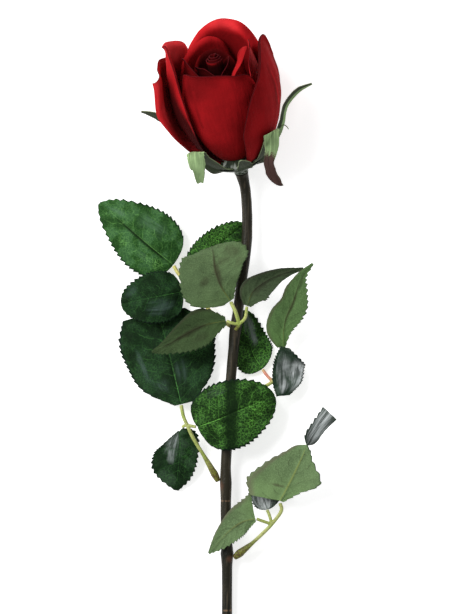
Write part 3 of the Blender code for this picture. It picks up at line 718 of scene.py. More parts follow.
# Leaflets: spine from the stalk to the tip, half widths of the two halves (the widest,
# or widths at even steps), roll about the spine (180 shows the underside), fold of each
# half, wave of the edge, sweep of each half towards the tip, and the looks of the two
# sides. shine and brown are spots on the upper side and the underside, and lush is where
# the net is strongest: place across and along, size, amount. shine is painted sheen, and
# brown is stains, on one leaflet also thin lines of painted shade in pinched folds. calm
# is how far along the teeth end on each half, band where the painted shade of the
# stem shows through, and paleRib how pale the midrib is below.
leaves = {
    "leaf_upper_front_terminal": dict(
        spine=((6, 22.7, 14.6), (2, 29.2, 17.3), (-0.6, 36.5, 18.6), (-1.6, 43.6, 16.6), (-2.4, 46.6, 10.5)),
        half=((2, 8.5, 13, 15, 3), (3.5, 16.5, 16.5, 12.5, 2)), sweep=(0, -0.08), roll=(180, 180),
        fold=(-6, -6), wave=0.6, looks=("vivid", "pale"),
        brown=((0.22, 0.74, 0.18, 0.12, 0.5), (0.1, 0.56, 0.1, 0.12, 0.45), (0.47, 0.45, 0.1, 0.3, 0.8),
               (0.36, 0.62, 0.14, 0.1, 0.5), (0.66, 0.4, 0.1, 0.07, 0.6))),
    "leaf_upper_front_left": dict(
        spine=((4, 13.7, 13.3), (-5.4, 11.8, 13.7), (-14.4, 7.3, 13), (-23.4, 2.2, 11.2), (-29, -0.2, 9.4)),
        half=((2, 8, 6, 2.4, 0.5), (2, 8.4, 8, 3.6, 0.5)), roll=(180, 180), fold=(-14, -14), wave=0.4,
        looks=("dark", "shaded"),
        brown=((0.5, 0.5, 0.14, 0.42, 0.9), (0.75, 0.35, 0.16, 0.16, 0.4)), calm=(0.2, 2)),
    "leaf_upper_front_right": dict(
        spine=((13.5, 20.5, 14.2), (16, 26.6, 15.1), (21.8, 31.4, 15.4), (29.5, 35, 14.6),
               (38.6, 37.2, 12.8)),
        half=((2, 6.6, 5.6, 2.8, 0.5), (2, 6.4, 5, 2.6, 0.5)), roll=(185, 195, 205), fold=(-14, -14),
        wave=0.3, looks=("dark", "grey"),
        brown=((0.45, 0.4, 0.2, 0.35, 0.6), (0.5, 0.75, 0.25, 0.2, 0.6)), calm=(0.42, 0)),
    "leaf_upper_back_terminal": dict(
        spine=((-19.7, 38.8, 5.3), (-30.5, 47.5, 8), (-41.5, 57, 7), (-53, 66.4, 3)),
        half=(13.4, 16.2), ends=(0.45, 0.85), fold=(-8, -8), wave=0.6, looks=("soft", "pale"),
        shine=((0.76, 0.42, 0.18, 0.26, 0.55), (0.62, 0.8, 0.14, 0.16, 0.7), (0.3, 0.3, 0.1, 0.16, 0.5)),
        lush=((0.3, 0.22, 0.22, 0.22, 1), (0.25, 0.55, 0.18, 0.16, 0.8))),
    "leaf_upper_back_right": dict(
        spine=((-12.3, 34.6, 4.3), (-5, 42, 3.4), (3.5, 50, 2.5), (12.5, 57, 1.8)),
        half=(8.4, 10.5), fold=(0, 0), wave=0.3, looks=("vivid", "pale"),
        lush=((0.25, 0.6, 0.4, 0.5, 0.9),)),
    "leaf_upper_back_left": dict(
        spine=((-15.5, 26.7, 5), (-24, 25, 7.6), (-34, 23, 7.8), (-43, 21.3, 6.5)),
        half=(12, 11.4), ends=(0.42, 0.62), fold=(-8, -6), wave=0.5, looks=("dark", "grey"),
        shine=((0.28, 0.4, 0.22, 0.3, 0.9), (0.8, 0.8, 0.2, 0.16, 0.5))),
    "leaf_right_terminal": dict(
        spine=((29.9, 1.9, 7.8), (29.9, 8.7, 9.6), (31.2, 15.2, 11.6), (34, 21.8, 13.9), (36, 28, 16),
               (38, 34, 18), (42.8, 39.3, 20)),
        half=((0.8, 3.4, 6.4, 7, 4.6, 2.2, 0.5), (3, 7.8, 8, 5.8, 5.2, 2.2, 0.5)), roll=(180, 180),
        fold=(-12, -12), wave=0.4, looks=("dark", "green"),
        brown=((0.5, 0.5, 0.1, 0.34, 0.8), (0.35, 0.8, 0.2, 0.14, 0.5)), calm=(2, 0)),
    "leaf_right_inner": dict(
        spine=((20.4, -7.7, 2.7), (16.8, -2.5, 1.3), (14, 6, 0.56), (12.3, 18.5, 0.9)),
        half=(9.4, 9.4), fold=(0, 0), wave=0.3, looks=("vivid", "pale"),
        shine=((0.6, 0.88, 0.26, 0.24, 1.2), (0.62, 0.7, 0.16, 0.22, 0.9)), silver=(0.16, 0.19, 0.18),
        lush=((0.72, 0.26, 0.4, 0.3, 0.8),)),
    "leaf_right_outer": dict(
        spine=((27.6, -20, 9.2), (26.8, -12.6, 8.6), (27.2, -5, 10.9), (29.2, 2.2, 12.4)),
        half=((1.5, 2.6, 2.6, 2.2, 0.8), (5.5, 11.7, 12.9, 11.7, 3.5)), roll=(12, 12), fold=(-62, -6),
        wave=0.5, looks=("silvery", "grey"),
        shine=((0.6, 0.55, 0.24, 0.4, 0.5), (0.9, 0.45, 0.26, 0.42, 1), (0.66, 0.22, 0.16, 0.2, 0.8))),
    "leaf_left_terminal": dict(
        spine=((-16.1, -23.7, 7), (-19.5, -10, 4), (-23, 4, 1.9), (-27, 18, 1.05)),
        half=((3, 15.5, 19.5, 20.5, 16), (6, 17, 21, 21.5, 9)), fold=(-2, -2), wave=0.4,
        looks=("dark", "grey"),
        shine=((0.17, 0.42, 0.07, 0.3, 1), (0.3, 0.25, 0.14, 0.1, 0.5), (0.6, 0.35, 0.1, 0.18, 0.6)),
        lush=((0.8, 0.54, 0.2, 0.24, 0.55), (0.6, 0.7, 0.14, 0.16, 0.7))),
    "leaf_left_outer": dict(
        spine=((-16.7, -35.7, 7.8), (-16.4, -43.5, 7.6), (-17.3, -53, 5.4), (-18.2, -62.6, 2)),
        half=((1.2, 7.6, 8.2, 6.6, 0.8), (1, 7.8, 12, 11, 0.8)), sweep=(-1, 0), fold=(-10, -10), wave=0.5,
        looks=("dark", "grey"),
        shine=((0.74, 0.22, 0.24, 0.26, 1.2), (0.66, 0.44, 0.12, 0.18, 0.9)), silver=(0.22, 0.25, 0.24),
        lush=((0.25, 0.5, 0.3, 0.4, 0.6),)),
    "leaf_left_inner": dict(
        spine=((-8.6, -33.7, 10.7), (1.6, -29.8, 12.8), (13.8, -24.6, 12.4), (26, -20, 10)),
        half=(15.2, 15.8), sweep=(-0.3, 0), fold=(-5, -5), wave=0.6, looks=("vivid", "pale"),
        shine=((0.12, 0.45, 0.1, 0.2, 0.5),), band=6.4,
        lush=((0.6, 0.76, 0.24, 0.16, 1.1), (0.76, 0.64, 0.16, 0.16, 1))),
    "leaf_lower_right_terminal": dict(
        spine=((28.4, -66.8, 10.7), (31.5, -61, 12.2), (35.1, -53.4, 14.2), (38.8, -45.6, 15.8),
               (41.4, -40.2, 16), (45.6, -33.6, 15), (50.6, -27.6, 12.6)),
        half=((1.5, 6, 12.6, 4.2, 4.4, 3.6, 4.2), (13.6, 18.2, 13.6, 6.4, 4, 3.4, 4.2)), sweep=(0, -0.3),
        roll=(180, 180, 180, 162, 50, 15, 10), fold=(-6, -6), wave=0.5, looks=("silvery", "light"),
        shine=((0.5, 0.85, 0.7, 0.3, 1),),
        # its two thin brown marks are painted shade in small pinched folds by the midrib
        brown=((0.4, 0.5, 0.1, 0.02, 0.6), (0.62, 0.16, 0.12, 0.025, 0.7)), calm=(2, 0.45), paleRib=1),
    "leaf_lower_right_left": dict(
        spine=((17.2, -75.1, 9.7), (11, -76.5, 11), (4.5, -81.3, 10.9), (-3.6, -90.4, 9)),
        half=((13.2, 9, 6.6, 4, 0.5), (1.2, 4.4, 5.6, 4.6, 0.5)), roll=(180, 180), fold=(-2, -8), wave=0.4,
        looks=("dark", "light"),
        brown=((0.52, 0.4, 0.08, 0.25, 0.6),), calm=(0.3, 2), paleRib=0.7),
    "leaf_lower_right_inner": dict(
        spine=((22.5, -70.8, 6.4), (21.5, -65, 5.4), (23.5, -58, 4.2), (28, -51, 3)),
        half=(6.5, 8), fold=(-4, -4), wave=0.3, looks=("silvery", "grey"),
        shine=((0.4, 0.15, 0.6, 0.35, 1),)),
}


def leafMaps(coat, cell, pitch):
    veins = coat.use(leafVeins, Map=coat.shapeMap, Count=leafShape["veins"], Slant=leafShape["veinSlant"])
    net = coat.use(veinNet, Position=coat.place, Cell=cell)[0]
    weave = coat.use(clothWeave, Map=coat.clothMap, Pitch=pitch)[0]
    return veins, net, weave


def makeLeafUpper(name, look, leaf):
    coat = Coat(name, 0.6, 0.07, 7, 0.7)
    veins, net, weave = leafMaps(coat, look["cell"], 0.34)
    base, line = look["base"], look["line"]
    coat.start(coat.patches, toned(base, 0.65), toned(base, 1.35))
    strength = coat.fit(coat.patches, 0, 0.9, (0.25 * look["net"], look["net"]))
    if "lush" in leaf:
        strength = coat.calc("MAXIMUM", strength, coat.spots(leaf["lush"]))
    share = coat.times(coat.times(net, strength), coat.fit(veins["Edge"], 0, 0.4, (1, 0)))
    coat.paint(coat.times(share, coat.fit(coat.specks, 0.1, 0.8, (0.4, 1))), line)
    coat.paint(coat.times(veins["Side"], 0.5), line)
    # painted sheen: a silvery colour in broad patches, and on some leaflets in streaky spots, where the cloth
    # is also made smoother
    sheen = coat.times(coat.fit(coat.patches, 0.35, 0.9, (0, look["sheen"])), 0.6)
    if "shine" in leaf:
        streaky = coat.fit(veins["Streak"], 0.4, 0.62, (0.2, 1))
        sheen = coat.calc("MAXIMUM", sheen, coat.times(coat.spots(leaf["shine"]), streaky))
    coat.paint(sheen, leaf.get("silver", look["silver"]))
    # painted shade along the midrib groove, fading at both ends, with a light line beside it
    shade = coat.fit(coat.apart(coat.across, 0.485), 0, look["ribWide"] / 2, (look["rib"], 0))
    ends = coat.times(coat.fit(coat.along, 0.6, 0.82, (1, 0.1)), coat.fit(coat.along, 0.05, 0.22, (0.2, 1)))
    coat.paint(coat.times(shade, ends), base, 0.25)
    light = coat.times(coat.fit(coat.apart(coat.across, 0.507), 0, 0.01, (1, 0)),
                       coat.fit(coat.along, 0.1, 0.55, (1, 0.25)))
    coat.paint(coat.times(light, coat.fit(coat.specks, 0.1, 0.6, (0.3, look["ribLight"]))), line, 1.5)
    if "band" in leaf:
        # painted shade where the stem behind the leaflet blocks the light through it: a soft dark band
        side = coat.split(coat.place)[0]
        coat.paint(coat.fit(coat.apart(side, leaf["band"] * mm), 1.2 * mm, 4.4 * mm, (0.88, 0)), base, 0.7)
    coat.paint(coat.times(veins["Edge"], 0.8), leafMarks["margin"])
    return coat.finish((weave, 0.012), (net, 0.05), (veins["Streak"], 0.35),
                       roughness=coat.fit(sheen, 0, 1, (0.62, 0.42)))


def makeLeafUnder(name, colour, leaf):
    brown = (0.5, 0.3, 0.38)        # what browns a colour
    coat = Coat(name, 0.85, 0.1, 9, 0.55)
    veins, net, weave = leafMaps(coat, 1.3, 0.6)
    coat.start(coat.patches, toned(colour, 0.86), toned(colour, 1.12))
    coat.paint(coat.fit(coat.specks, 0.3, 1, (0, 0.65)), colour, 1.6)
    coat.paint(coat.fit(weave, 0.7, 1.5, (0.5, 0)), colour, 0.5)
    coat.paint(coat.times(net, 0.12), colour, 1.5)
    coat.paint(coat.fit(coat.along, 0, 0.4, (0.4, 0)), colour, (1.5, 1.6, 1.3))
    if "calm" in leaf:
        # the smooth margin is browner
        low, high = (0.14, 0) if leaf["calm"][0] < leaf["calm"][1] else (0.86, 1)
        fold = coat.times(coat.fit(coat.across, low, high, (0, 0.8)),
                          coat.fit(veins["Streak"], 0.35, 0.6, (0.4, 1)))
        coat.paint(fold, colour, (1.1, 0.62, 1))
    if "brown" in leaf:
        # brown stains, and on one leaflet thin lines of painted shade in pinched folds
        stainsAndFoldShade = coat.times(coat.spots(leaf["brown"]), coat.fit(veins["Streak"], 0.3, 0.6, (0.4, 0.9)))
        coat.paint(stainsAndFoldShade, colour, brown)
    coat.paint(coat.times(veins["Side"], 0.3), colour, brown)
    rib = coat.blend(coat.fit(coat.along, 0.02, 0.3), toned(leafMarks["ribFoot"]),
                     toned(colour, (0.42, 0.26, 0.3)))
    rib = coat.blend(leaf.get("paleRib", 0), rib, toned(leafMarks["paleRib"]))
    coat.paint(coat.times(veins["Midrib"], coat.fit(coat.along, 0.55, 0.95, (0.9, 0.2))), rib)
    coat.paint(coat.times(veins["Edge"], 0.4), colour, 0.45)
    return coat.finish((weave, 0.03), (coat.specks, 0.05), (veins["Side"], 0.15))


def leafWidth(along, ends=leafShape["ends"]):
    # half width as a share of the widest, from how full the foot and the tip are
    foot, tip = ends
    highest = foot ** foot * tip ** tip / (foot + tip) ** (foot + tip)
    return max(leafShape["leastWidth"], max(along, 0) ** foot * max(1 - along, 0) ** tip / highest)


def leafPoint(leaf, seed, across, along):
    shape = leafShape
    left = across < 0
    half = 0 if left else 1
    centre = readCurve(leaf["spine"], along)
    ahead = readAhead(leaf["spine"], along)
    up = (Vector((0, 0, 1)) - ahead * ahead.z).normalized()
    up = Matrix.Rotation(radians(readValue(leaf.get("roll", (0, 0)), along)), 3, ahead) @ up
    side = ahead.cross(up)
    fold = radians(leaf["fold"][half])
    share = leafWidth(along)
    out = abs(across)
    width = leaf["half"][half]
    if isinstance(width, tuple):
        reach = out * readValue(width, along)
    else:
        reach = out * (width * leafWidth(along, leaf.get("ends", shape["ends"])))
    # teeth point towards the tip
    row = along * shape["teeth"] + 0.35 * bumps(along * 6, across, seed)
    part = row % 1
    peak = shape["toothPeak"]
    tooth = part / peak if part < peak else (1 - part) / (1 - peak)
    size = 1 + 0.5 * bumps(round(row) * 0.7, 3 if left else 9, seed)
    edge = ease(0.84, 1, out) * min(1, share * 1.6) * size
    if "calm" in leaf:
        end = leaf["calm"][half]
        edge *= 1 - 0.9 * ease(end - 0.04, end + 0.04, along)
    reach += shape["toothDepth"] * (tooth - 0.45) * edge
    # cloth stands up between the side veins
    vein = (along - shape["veinSlant"] * out ** 1.2) * shape["veins"] + 0.5
    body = ease(0.03, 0.25, out) * (1 - ease(0.82, 1, out))
    relief = shape["pucker"] * (ease(0, 0.42, abs(vein - round(vein))) - 0.5) * body
    relief -= shape["groove"] * exp(-(reach / shape["grooveWidth"]) ** 2)
    relief += shape["dent"] * bumps(reach / 5 + (7 if left else 0), along * 7, seed) * ease(0.05, 0.4, out)
    wave = leaf["wave"] * across * across * sin(along * 9 + (1.5 if left else 0)) * share
    sweep = leaf.get("sweep", (0, 0))[half] * (1 - along) ** 2
    centre += ahead * (sweep * reach + 0.4 * tooth * edge)
    return centre + side * copysign(reach * cos(fold), across) + up * (reach * sin(fold) + wave + relief)


def makeLeaves():
    shared = {}

    def finishOf(make, name, look, looks, leaf, own):
        # leaflets without marks of their own share a finish
        key = make.__name__[4:] + "_" + (name[5:] if own & leaf.keys() else look)
        if key not in shared:
            shared[key] = make(key, looks[look], leaf)
        return shared[key]

    edge = makeEdgeMaterial("leafEdge", leafMarks["cut"], 0.8)
    for seed, (name, leaf) in enumerate(leaves.items()):
        upper = finishOf(makeLeafUpper, name, leaf["looks"][0], uppers, leaf, {"shine", "lush", "band"})
        under = finishOf(makeLeafUnder, name, leaf["looks"][1], undersides, leaf,
                         {"brown", "calm", "paleRib"})
        makeSheet(name + "_cloth", name, leafShape["grid"], partial(leafPoint, leaf, seed),
                  [upper, under, edge], leafShape["wall"], leafShape["cloth"], leafShape["spread"])
    print("leaflets made")


# Calyx

calyx = {
    "cup": ((0, -5), (3, -5), (3.1, -3.8), (5, -2.4), (8.2, -1), (10.4, 0.2), (10.6, 0.7), (8.2, 0.3),
            (7.5, 0.4), (2.7, 13.4), (0, 13.4)),
    "clear": 0.9,           # from the outermost petals to a sepal
    "lift": 3.4,            # what is added to that at its tip
    "wall": 0.4,
    "grid": (16, 90),
    "cloth": (7, 40),
    "cupGrid": (72, 60),
    "thread": ((20.6, 9.6, 0.2), (22, 10.7, 1.6), (23.4, 11.2, 2.6), (24.5, 10.2, 3), (25, 8.8, 2.8)),
    "pale": (0.26, 0.38, 0.175),
    "dark": (0.045, 0.058, 0.034),
    "brown": (0.07, 0.038, 0.032),
    "edge": (0.16, 0.2, 0.11),
    "cupDark": (0.014, 0.026, 0.014),
    "cupLight": (0.05, 0.068, 0.036),
    "cupStripe": (0.46, 0.5, 0.45),
}
# Sepals: spine from the cup to the tip, half widths, the way across, how ragged the
# sides are, how far the tip is torn or cut at a slant, and whether it is brown. One
# that is turned shows its pale side outwards.
sepals = {
    "frontLeft": dict(
        spine=((-5.2, -1.6, 2.4), (-9.4, -0.8, 6.2), (-12.8, 3.2, 11.4), (-15.2, 6.4, 14.8), (-16.8, 9, 19.2),
               (-18, 7.2, 24), (-18.8, 1, 23.4), (-20, -6.6, 18.6)),
        half=(3, 3.8, 3.8, 3.2, 3.3, 3.7, 3.8, 3), width=(1, 0.15, 0), ragged=0.4, torn=0.09, brown=0),
    "frontRight": dict(
        spine=((5.9, -1.8, 3), (10.2, -1, 6.6), (13.6, 2.8, 12), (15.6, 7.2, 16), (16.8, 9.9, 18.4),
               (16.6, 8.8, 23.2), (15.2, 2, 22.4), (12.4, -5.4, 19), (14.2, -15.4, 12.8)),
        half=(3, 3.6, 3.8, 3.4, 3.4, 3.6, 3.2, 2.2, 2.4), width=(1, -0.15, 0), ragged=0.4, slant=0.07,
        brown=1),
    "frontMiddle": dict(
        spine=((1.2, -3, 5), (1.8, -3.9, 10.4), (1.8, -1.2, 15.2), (0.4, 3, 18.9)),
        half=(2.8, 3.4, 3, 0.6), width=(1, 0, 0), ragged=0.2, brown=0),
    "right": dict(
        spine=((5.8, -0.1, -1.6), (11.9, 1.8, -2.4), (19.2, 7.6, -0.5), (22.8, 12.5, 1.2), (26.4, 19.5, 3),
               (33, 24.5, 4), (40, 26, 4.5)),
        half=(2.8, 3, 2.2, 1.9, 1.7, 1.7, 0.6), width=(-0.35, 0.5, 0.8), ragged=0.15, brown=0, turned=True),
    "left": dict(
        spine=((-5.5, 0.2, -2.6), (-11.2, 3.4, -4.4), (-18, 11.6, -3.6), (-25, 22.3, -0.6), (-31, 29, 0.5),
               (-37, 32.5, 0.5)),
        half=(2.8, 3.2, 2.8, 2.4, 2, 0.5), width=(0.35, 0.5, 0.8), ragged=0.15, brown=0),
}


def pastPetals(point, clear):
    # moves a point forward, or out on the far side, until it is clear of the petals
    across, height, front = (axis.dot(point - bud["base"]) for axis in (budSide, budUp, budFront))
    radius = hypot(across, front)
    least = petalRadius(bud["topLayer"], height, 0) + clear
    if height < bud["footHeight"] - 0.7 or radius > least:
        return point
    if front > 0:
        return budPoint(across, height, sqrt(least * least - across * across))
    return budPoint(across * least / radius, height, front * least / radius)


def makeSepalMaterial(name, colour, brownShare=0, otherHalf=None):
    coat = Coat(name, 0.8, 0.12, 6, 0.5)
    lines = coat.streaks(coat.shapeMap, (16, 2.2, 1), 3)
    coat.start(coat.patches, toned(colour, 0.8), toned(colour, 1.15))
    coat.paint(coat.fit(lines, 0.5, 0.64, (0, 0.65)), colour, 0.5)
    coat.paint(coat.fit(lines, 0.46, 0.34, (0, 0.5)), colour, 1.5)
    if otherHalf:
        coat.paint(coat.fit(coat.across, 0.4, 0.52), otherHalf)
    brown = coat.blend(coat.fit(lines, 0.42, 0.6), toned(calyx["brown"], 0.6), toned(calyx["brown"], 1.3))
    jagged = coat.calc("MULTIPLY_ADD", coat.specks, 0.03, coat.calc("MULTIPLY_ADD", lines, 0.16, coat.along))
    coat.paint(coat.fit(jagged, 0.885, 0.915, (0, brownShare)), brown)
    return coat.finish((lines, 0.25), (coat.specks, 0.05))


def makeCupMaterial():
    coat = Coat("calyxCup", 0.5, 0.3, 5, 0.6)
    stripes = coat.streaks(coat.shapeMap, (14, 34, 1), 3, Distortion=0.4)
    coat.start(coat.patches, toned(calyx["cupDark"]), toned(calyx["cupLight"]))
    coat.paint(coat.fit(stripes, 0.52, 0.62, (0, 0.9)), calyx["cupStripe"])
    return coat.finish((stripes, 0.3))


def leanPoint(side, along, up):
    return bud["base"] + budSide * side + budAlong * along + Vector((0, 0, up))


def cupPoint(across, along):
    radius, height = readCurve(calyx["cup"], along)
    turn = pi * across
    radius = max(0, radius) * (1 + 0.025 * cos(5 * turn) + 0.012 * bumps(turn * 4, along * 5, 2))
    return roundBud(turn, height, 0 if along in (0, 1) else radius)


def sepalPoint(sepal, seed, spine, width, across, along):
    ahead = readAhead(spine, along)
    side = (width - ahead * width.dot(ahead)).normalized()
    ragged = sepal["ragged"] * ease(0.7, 1, abs(across)) * ease(0.25, 0.6, along)
    reach = readValue(sepal["half"], along)
    reach += ragged * (bumps(along * 26, 2 * across, seed) + 0.6 * bumps(along * 60, 2 * across, seed))
    lost = sepal.get("torn", 0) * (0.3 + (across - 0.2) ** 2 + 0.7 * bumps(across * 2.2, 3, seed))
    lost += sepal.get("slant", 0) * (1 - across) ** 2 / 4
    point = readCurve(spine, along * (1 - lost * along ** 4)) + side * across * reach
    return pastPetals(point, calyx["clear"] + calyx["lift"] * along ** 3)


def makeCalyx():
    finishPiece(makeSkin(*calyx["cupGrid"], cupPoint), "calyx_cup", "calyx", [makeCupMaterial()])
    edge = makeEdgeMaterial("sepalEdge", calyx["edge"], 0.8)
    inside = [makeSepalMaterial("sepalPale", calyx["pale"]),
              makeSepalMaterial("sepalPaleBrown", calyx["pale"], 1)]
    outside = [makeSepalMaterial("sepalDark", calyx["dark"]),
               makeSepalMaterial("sepalDarkBrown", calyx["dark"], 1)]
    thin = makeSepalMaterial("sepalThin", calyx["pale"], 0, calyx["dark"])
    for seed, (name, sepal) in enumerate(sepals.items()):
        spine = [leanPoint(*point) for point in sepal["spine"]]
        width = leanPoint(*sepal["width"]) - bud["base"]
        finish = [outside[sepal["brown"]], inside[sepal["brown"]], edge]
        if sepal.get("turned"):
            finish = [inside[sepal["brown"]], thin, edge]
        makeSheet("sepal_" + name, "calyx", calyx["grid"],
                  partial(sepalPoint, sepal, seed, spine, width), finish, calyx["wall"], calyx["cloth"])
    thread = makeTube(10, 40, [leanPoint(*point) for point in calyx["thread"]],
                      lambda along: 0.32 - 0.14 * along, lambda turn, along: 0, (2, 12))
    finishPiece(thread, "calyx_thread", "calyx", inside[:1])
    print("calyx made")


# Stem and stalks

stem = {
    "line": ((11.05, 80.08, 9.58), (11.64, 77.7, 8.4), (12.6, 73.4, 7.3), (13.3, 67, 7), (13.6, 58, 7),
             (13.4, 50, 7), (12.5, 41, 7.1), (11, 30.5, 7.2), (9.5, 18.5, 7.3), (8, 7, 7.3), (7, -4, 7.2),
             (6, -15.5, 7), (5, -29, 6.6), (4.5, -42.5, 6.2), (4, -51.5, 5.9), (4, -62.5, 5.5),
             (4, -76, 5), (4.5, -87.5, 4.6), (4.5, -96, 4.3), (4.5, -114.5, 3.6), (4.6, -130, 3),
             (5, -150.5, 2.36)),
    "grid": (40, 420),
    "radius": 2.35,
    "neck": 3,
    "neckEnds": 0.09,
    "swellings": ((0.7, 0.35), (0.83, 0.6), (0.6, 0.3), (0.42, 0.3)),      # where and how high
    "dark": (0.007, 0.0076, 0.0046),
    "middle": (0.021, 0.018, 0.01),
    "light": (0.056, 0.044, 0.027),
    "ring": (0.16, 0.1, 0.06),
    "rings": (0.725, 0.6, 0.9),
    "knot": (0.075, 0.034, 0.018),
    "knots": ((0.4, 0.835, 0.9), (0.67, 0.7, 0.8), (0.5, 0.6, 0.6)),       # across, along, amount
}
# Stalks: the line from the stem to the last leaflet, and the lines to the two beside
# it from where it forks. thick is the radius at the foot, and pinkAt a pink spot.
stalks = {
    "stalk_upper_front": dict(
        main=((8.4, 9.6, 10.8), (9.7, 12.4, 11.7), (8.4, 17.5, 13.4), (6.2, 22.2, 14.4)),
        fork=(9.6, 12, 11.6),
        sides=(((7.2, 12.6, 12.6), (4.4, 13.6, 13.2)), ((12.6, 15, 12.8), (13.4, 20, 14.8)))),
    "stalk_upper_back": dict(
        main=((7.2, 10.5, 3.5), (-2, 17, 3.9), (-7, 23.5, 4.3), (-13.5, 30, 5), (-17, 34.5, 5.2),
              (-19.4, 38.4, 5.2)),
        fork=(-13.5, 30, 5), sides=(((-12.5, 34, 4.4),), ((-15, 27.6, 5),)), pale=True),
    "stalk_right": dict(
        main=((8.9, -22.9, 6.9), (16, -18.5, 5.6), (25, -13.5, 4.6), (28.4, -7, 5.8), (29.8, 1.4, 7.6)),
        fork=(25, -13.5, 4.6), sides=(((22.4, -10.8, 3.8), (20.6, -8.2, 2.9)), ((26.6, -13.2, 5.8),)),
        pinkAt=(22.4, -10.8, 3.8)),
    "stalk_left": dict(
        main=((0.6, -58.2, 6.8), (-1.6, -54, 7.6), (-6, -46.4, 8.8), (-10.5, -39, 9.6), (-13.3, -33, 9.4),
              (-15, -29, 8.4), (-16, -24.2, 7.2)),
        fork=(-13.3, -33, 9.4), sides=(((-9.4, -33.8, 10.4),), ((-14.6, -33.3, 8.9), (-15.5, -34, 8.5))),
        thick=1.7),
    "stalk_lower_right": dict(
        main=((7.8, -92.6, 6.2), (11, -89.9, 7), (16, -85.8, 7.8), (20.5, -81.6, 8.2), (24.6, -77.4, 8.4),
              (28.8, -71.6, 9), (28.3, -68, 9.6)),
        fork=(24.6, -77.4, 8.4),
        sides=(((21, -76.2, 8.8), (17.8, -75, 9.2)), ((23.6, -73.6, 7.6), (22.6, -71.2, 6.6))), thick=1.9),
}
stalkLook = {
    "grid": (20, 30),           # columns, and rows for each point of a line
    "radius": 0.84,
    "sideShare": 0.85,          # radius of a side line, as a share
    "voxel": 0.22,
    "green": (0.25, 0.32, 0.065),
    "pale": (0.4, 0.43, 0.15),
    "yellow": (0.7, 0.62, 0.2),
    "olive": (0.135, 0.145, 0.018),
    "brown": (0.07, 0.045, 0.012),
    "pink": (0.62, 0.24, 0.17),
}


def makeStemMaterial():
    coat = Coat("stemBark", 0.4, 0.18, 16, 0.9)
    streaks = coat.streaks(coat.place, (1100, 45, 1100), 5)
    coat.start(coat.patches, toned(stem["dark"]), toned(stem["middle"]))
    coat.paint(coat.fit(streaks, 0.52, 0.66, (0, 0.8)), stem["light"])
    for where in stem["rings"]:
        ring = coat.fit(coat.apart(coat.along, where), 0.0006, 0.0016, (1, 0))
        coat.paint(coat.times(ring, coat.fit(streaks, 0.4, 0.6)), stem["ring"])
    for across, along, amount in stem["knots"]:
        knot = coat.use(softSpot, Map=coat.shapeMap, Middle=(across, along, 0), Size=(0.16, 0.012, 1))[0]
        coat.paint(coat.times(knot, amount), stem["knot"])
    return coat.finish((streaks, 0.25), (coat.specks, 0.06),
                       roughness=coat.fit(streaks, 0.3, 0.7, (0.3, 0.55)))


def makeStalkMaterial(name, stalk):
    # darker and browner at its foot, and pink where it says so
    coat = Coat(name + "_skin", 0.45, 0.3, 7, 0.8)
    tone = 1 if "thick" in stalk else 1.25
    coat.start(coat.patches, toned(stalkLook["green"], tone), toned(stalkLook["pale"], tone))
    if stalk.get("pale"):
        coat.paint(0.75, stalkLook["yellow"])

    def near(point, size):
        middle = (Vector(point) - originAt) * mm
        return coat.use(softSpot, Map=coat.place, Middle=middle, Size=(size * mm,) * 3)[0]

    olive = coat.blend(coat.fit(coat.specks, 0.3, 0.8), toned(stalkLook["olive"]), toned(stalkLook["brown"]))
    coat.paint(near(stalk["main"][0], 17 if "thick" in stalk else 4), olive)
    if "pinkAt" in stalk:
        coat.paint(near(stalk["pinkAt"], 5), stalkLook["pink"])
    coat.paint(coat.fit(coat.specks, 0.6, 1, (0, 0.4)), stalkLook["brown"])
    return coat.finish((coat.specks, 0.08))


def makeStem():
    def radius(along):
        swell = sum(size * max(0, 1 - abs(along - where) / 0.03) for where, size in stem["swellings"])
        neck = (stem["neck"] - stem["radius"]) * max(0, 1 - along / stem["neckEnds"])
        return stem["radius"] + neck + swell

    def wobble(turn, along):
        return 0.1 * bumps(turn * 1.6, along * 34, 1) + 0.05 * bumps(turn * 5, along * 12, 2)

    bark = makeTube(*stem["grid"], stem["line"], radius, wobble)
    finishPiece(bark, "stem_bark", "stem", [makeStemMaterial()])
    print("stem made")


def makeStalks():
    plain = stalkLook["radius"]
    columns, rows = stalkLook["grid"]

    def mainRadius(swell, along):
        return plain + swell * max(0, 1 - abs(along - 0.14) / 0.2)

    def sideRadius(along):
        return plain * stalkLook["sideShare"]

    def wobble(turn, along):
        return 0.05 * bumps(turn, along * 20, 4)

    for name, stalk in stalks.items():
        radius = partial(mainRadius, stalk.get("thick", plain) - plain)
        main = makeTube(columns, rows * len(stalk["main"]), stalk["main"], radius, wobble, (6, 50))
        whole = finishPiece(main, name + "_skin", name, [makeStalkMaterial(name, stalk)])
        for side in stalk["sides"]:
            line = (stalk["fork"], *side)
            branch = makeTube(columns, rows * len(line), line, sideRadius, wobble, (5, 10))
            branch.from_mesh(whole.data)
            branch.to_mesh(whole.data)
            branch.free()
        fused = whole.modifiers.new("fused", "REMESH")
        fused.mode = "VOXEL"
        fused.voxel_size = stalkLook["voxel"] * mm
        fused.use_smooth_shade = True
    print("stalks made")


# Floor, light and camera

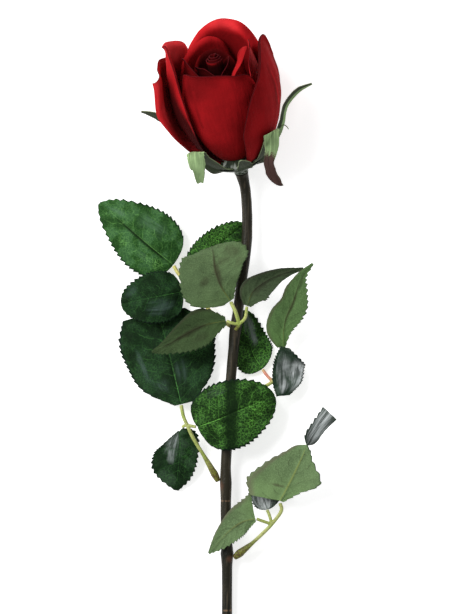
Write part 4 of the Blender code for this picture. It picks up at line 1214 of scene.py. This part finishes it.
stage = {
    "floorSize": 3,
    "floorColour": (0.8, 0.8, 0.8),
    "floorGlow": 0.62,
    "skyStrength": 0.5,
    "keyFrom": Vector((-0.62, 0.4, 0.68)),
    "keyTo": Vector((0, 0.05, 0.02)),
    "keyDistance": 1.6,
    "keySize": 0.9,
    "keyPower": 30,
    "photoMiddle": Vector((6.1, 19.9, 0)),      # what the photograph's middle shows
    "cameraHeight": 2000,
    "halfView": 138.15,                         # half of the height that the photograph shows
}


def makeStage():
    paper = bpy.data.materials.new("floorPaper")
    paper.use_nodes = True
    sockets = paper.node_tree.nodes["Principled BSDF"].inputs
    for key, value in (("Base Color", toned(stage["floorColour"])), ("Roughness", 1),
                       ("Specular IOR Level", 0), ("Emission Color", (1, 1, 1, 1)),
                       ("Emission Strength", stage["floorGlow"])):
        sockets[key].default_value = value
    bm = bmesh.new()
    bmesh.ops.create_grid(bm, x_segments=1, y_segments=1, size=stage["floorSize"])
    floor = addPiece(bm, "floor", [paper])
    floor.location.z = cadLow.z - 0.0001

    world = bpy.data.worlds.new("studio")
    world.use_nodes = True
    sky = world.node_tree.nodes["Background"].inputs
    sky["Color"].default_value = (1, 1, 1, 1)
    sky["Strength"].default_value = stage["skyStrength"]
    bpy.context.scene.world = world

    key = bpy.data.lights.new("key", "AREA")
    key.size = stage["keySize"]
    key.energy = stage["keyPower"]
    lamp = bpy.data.objects.new("key", key)
    direction = stage["keyFrom"].normalized()
    lamp.location = stage["keyTo"] + direction * stage["keyDistance"]
    lamp.rotation_euler = direction.to_track_quat("Z", "Y").to_euler()
    bpy.context.scene.collection.objects.link(lamp)

    camera = bpy.data.cameras.new("photo")
    camera.sensor_width = 36
    camera.lens = camera.sensor_width / 2 * stage["cameraHeight"] / stage["halfView"]
    camera.clip_end = 10
    viewer = bpy.data.objects.new("photo", camera)
    viewer.location = (stage["photoMiddle"] - originAt) * mm + Vector((0, 0, stage["cameraHeight"] * mm))
    bpy.context.scene.collection.objects.link(viewer)
    bpy.context.scene.camera = viewer
    bpy.context.scene.view_settings.view_transform = "Standard"
    print("stage set")


makeStage()
makePetals()
makeLeaves()
makeCalyx()
makeStem()
makeStalks()
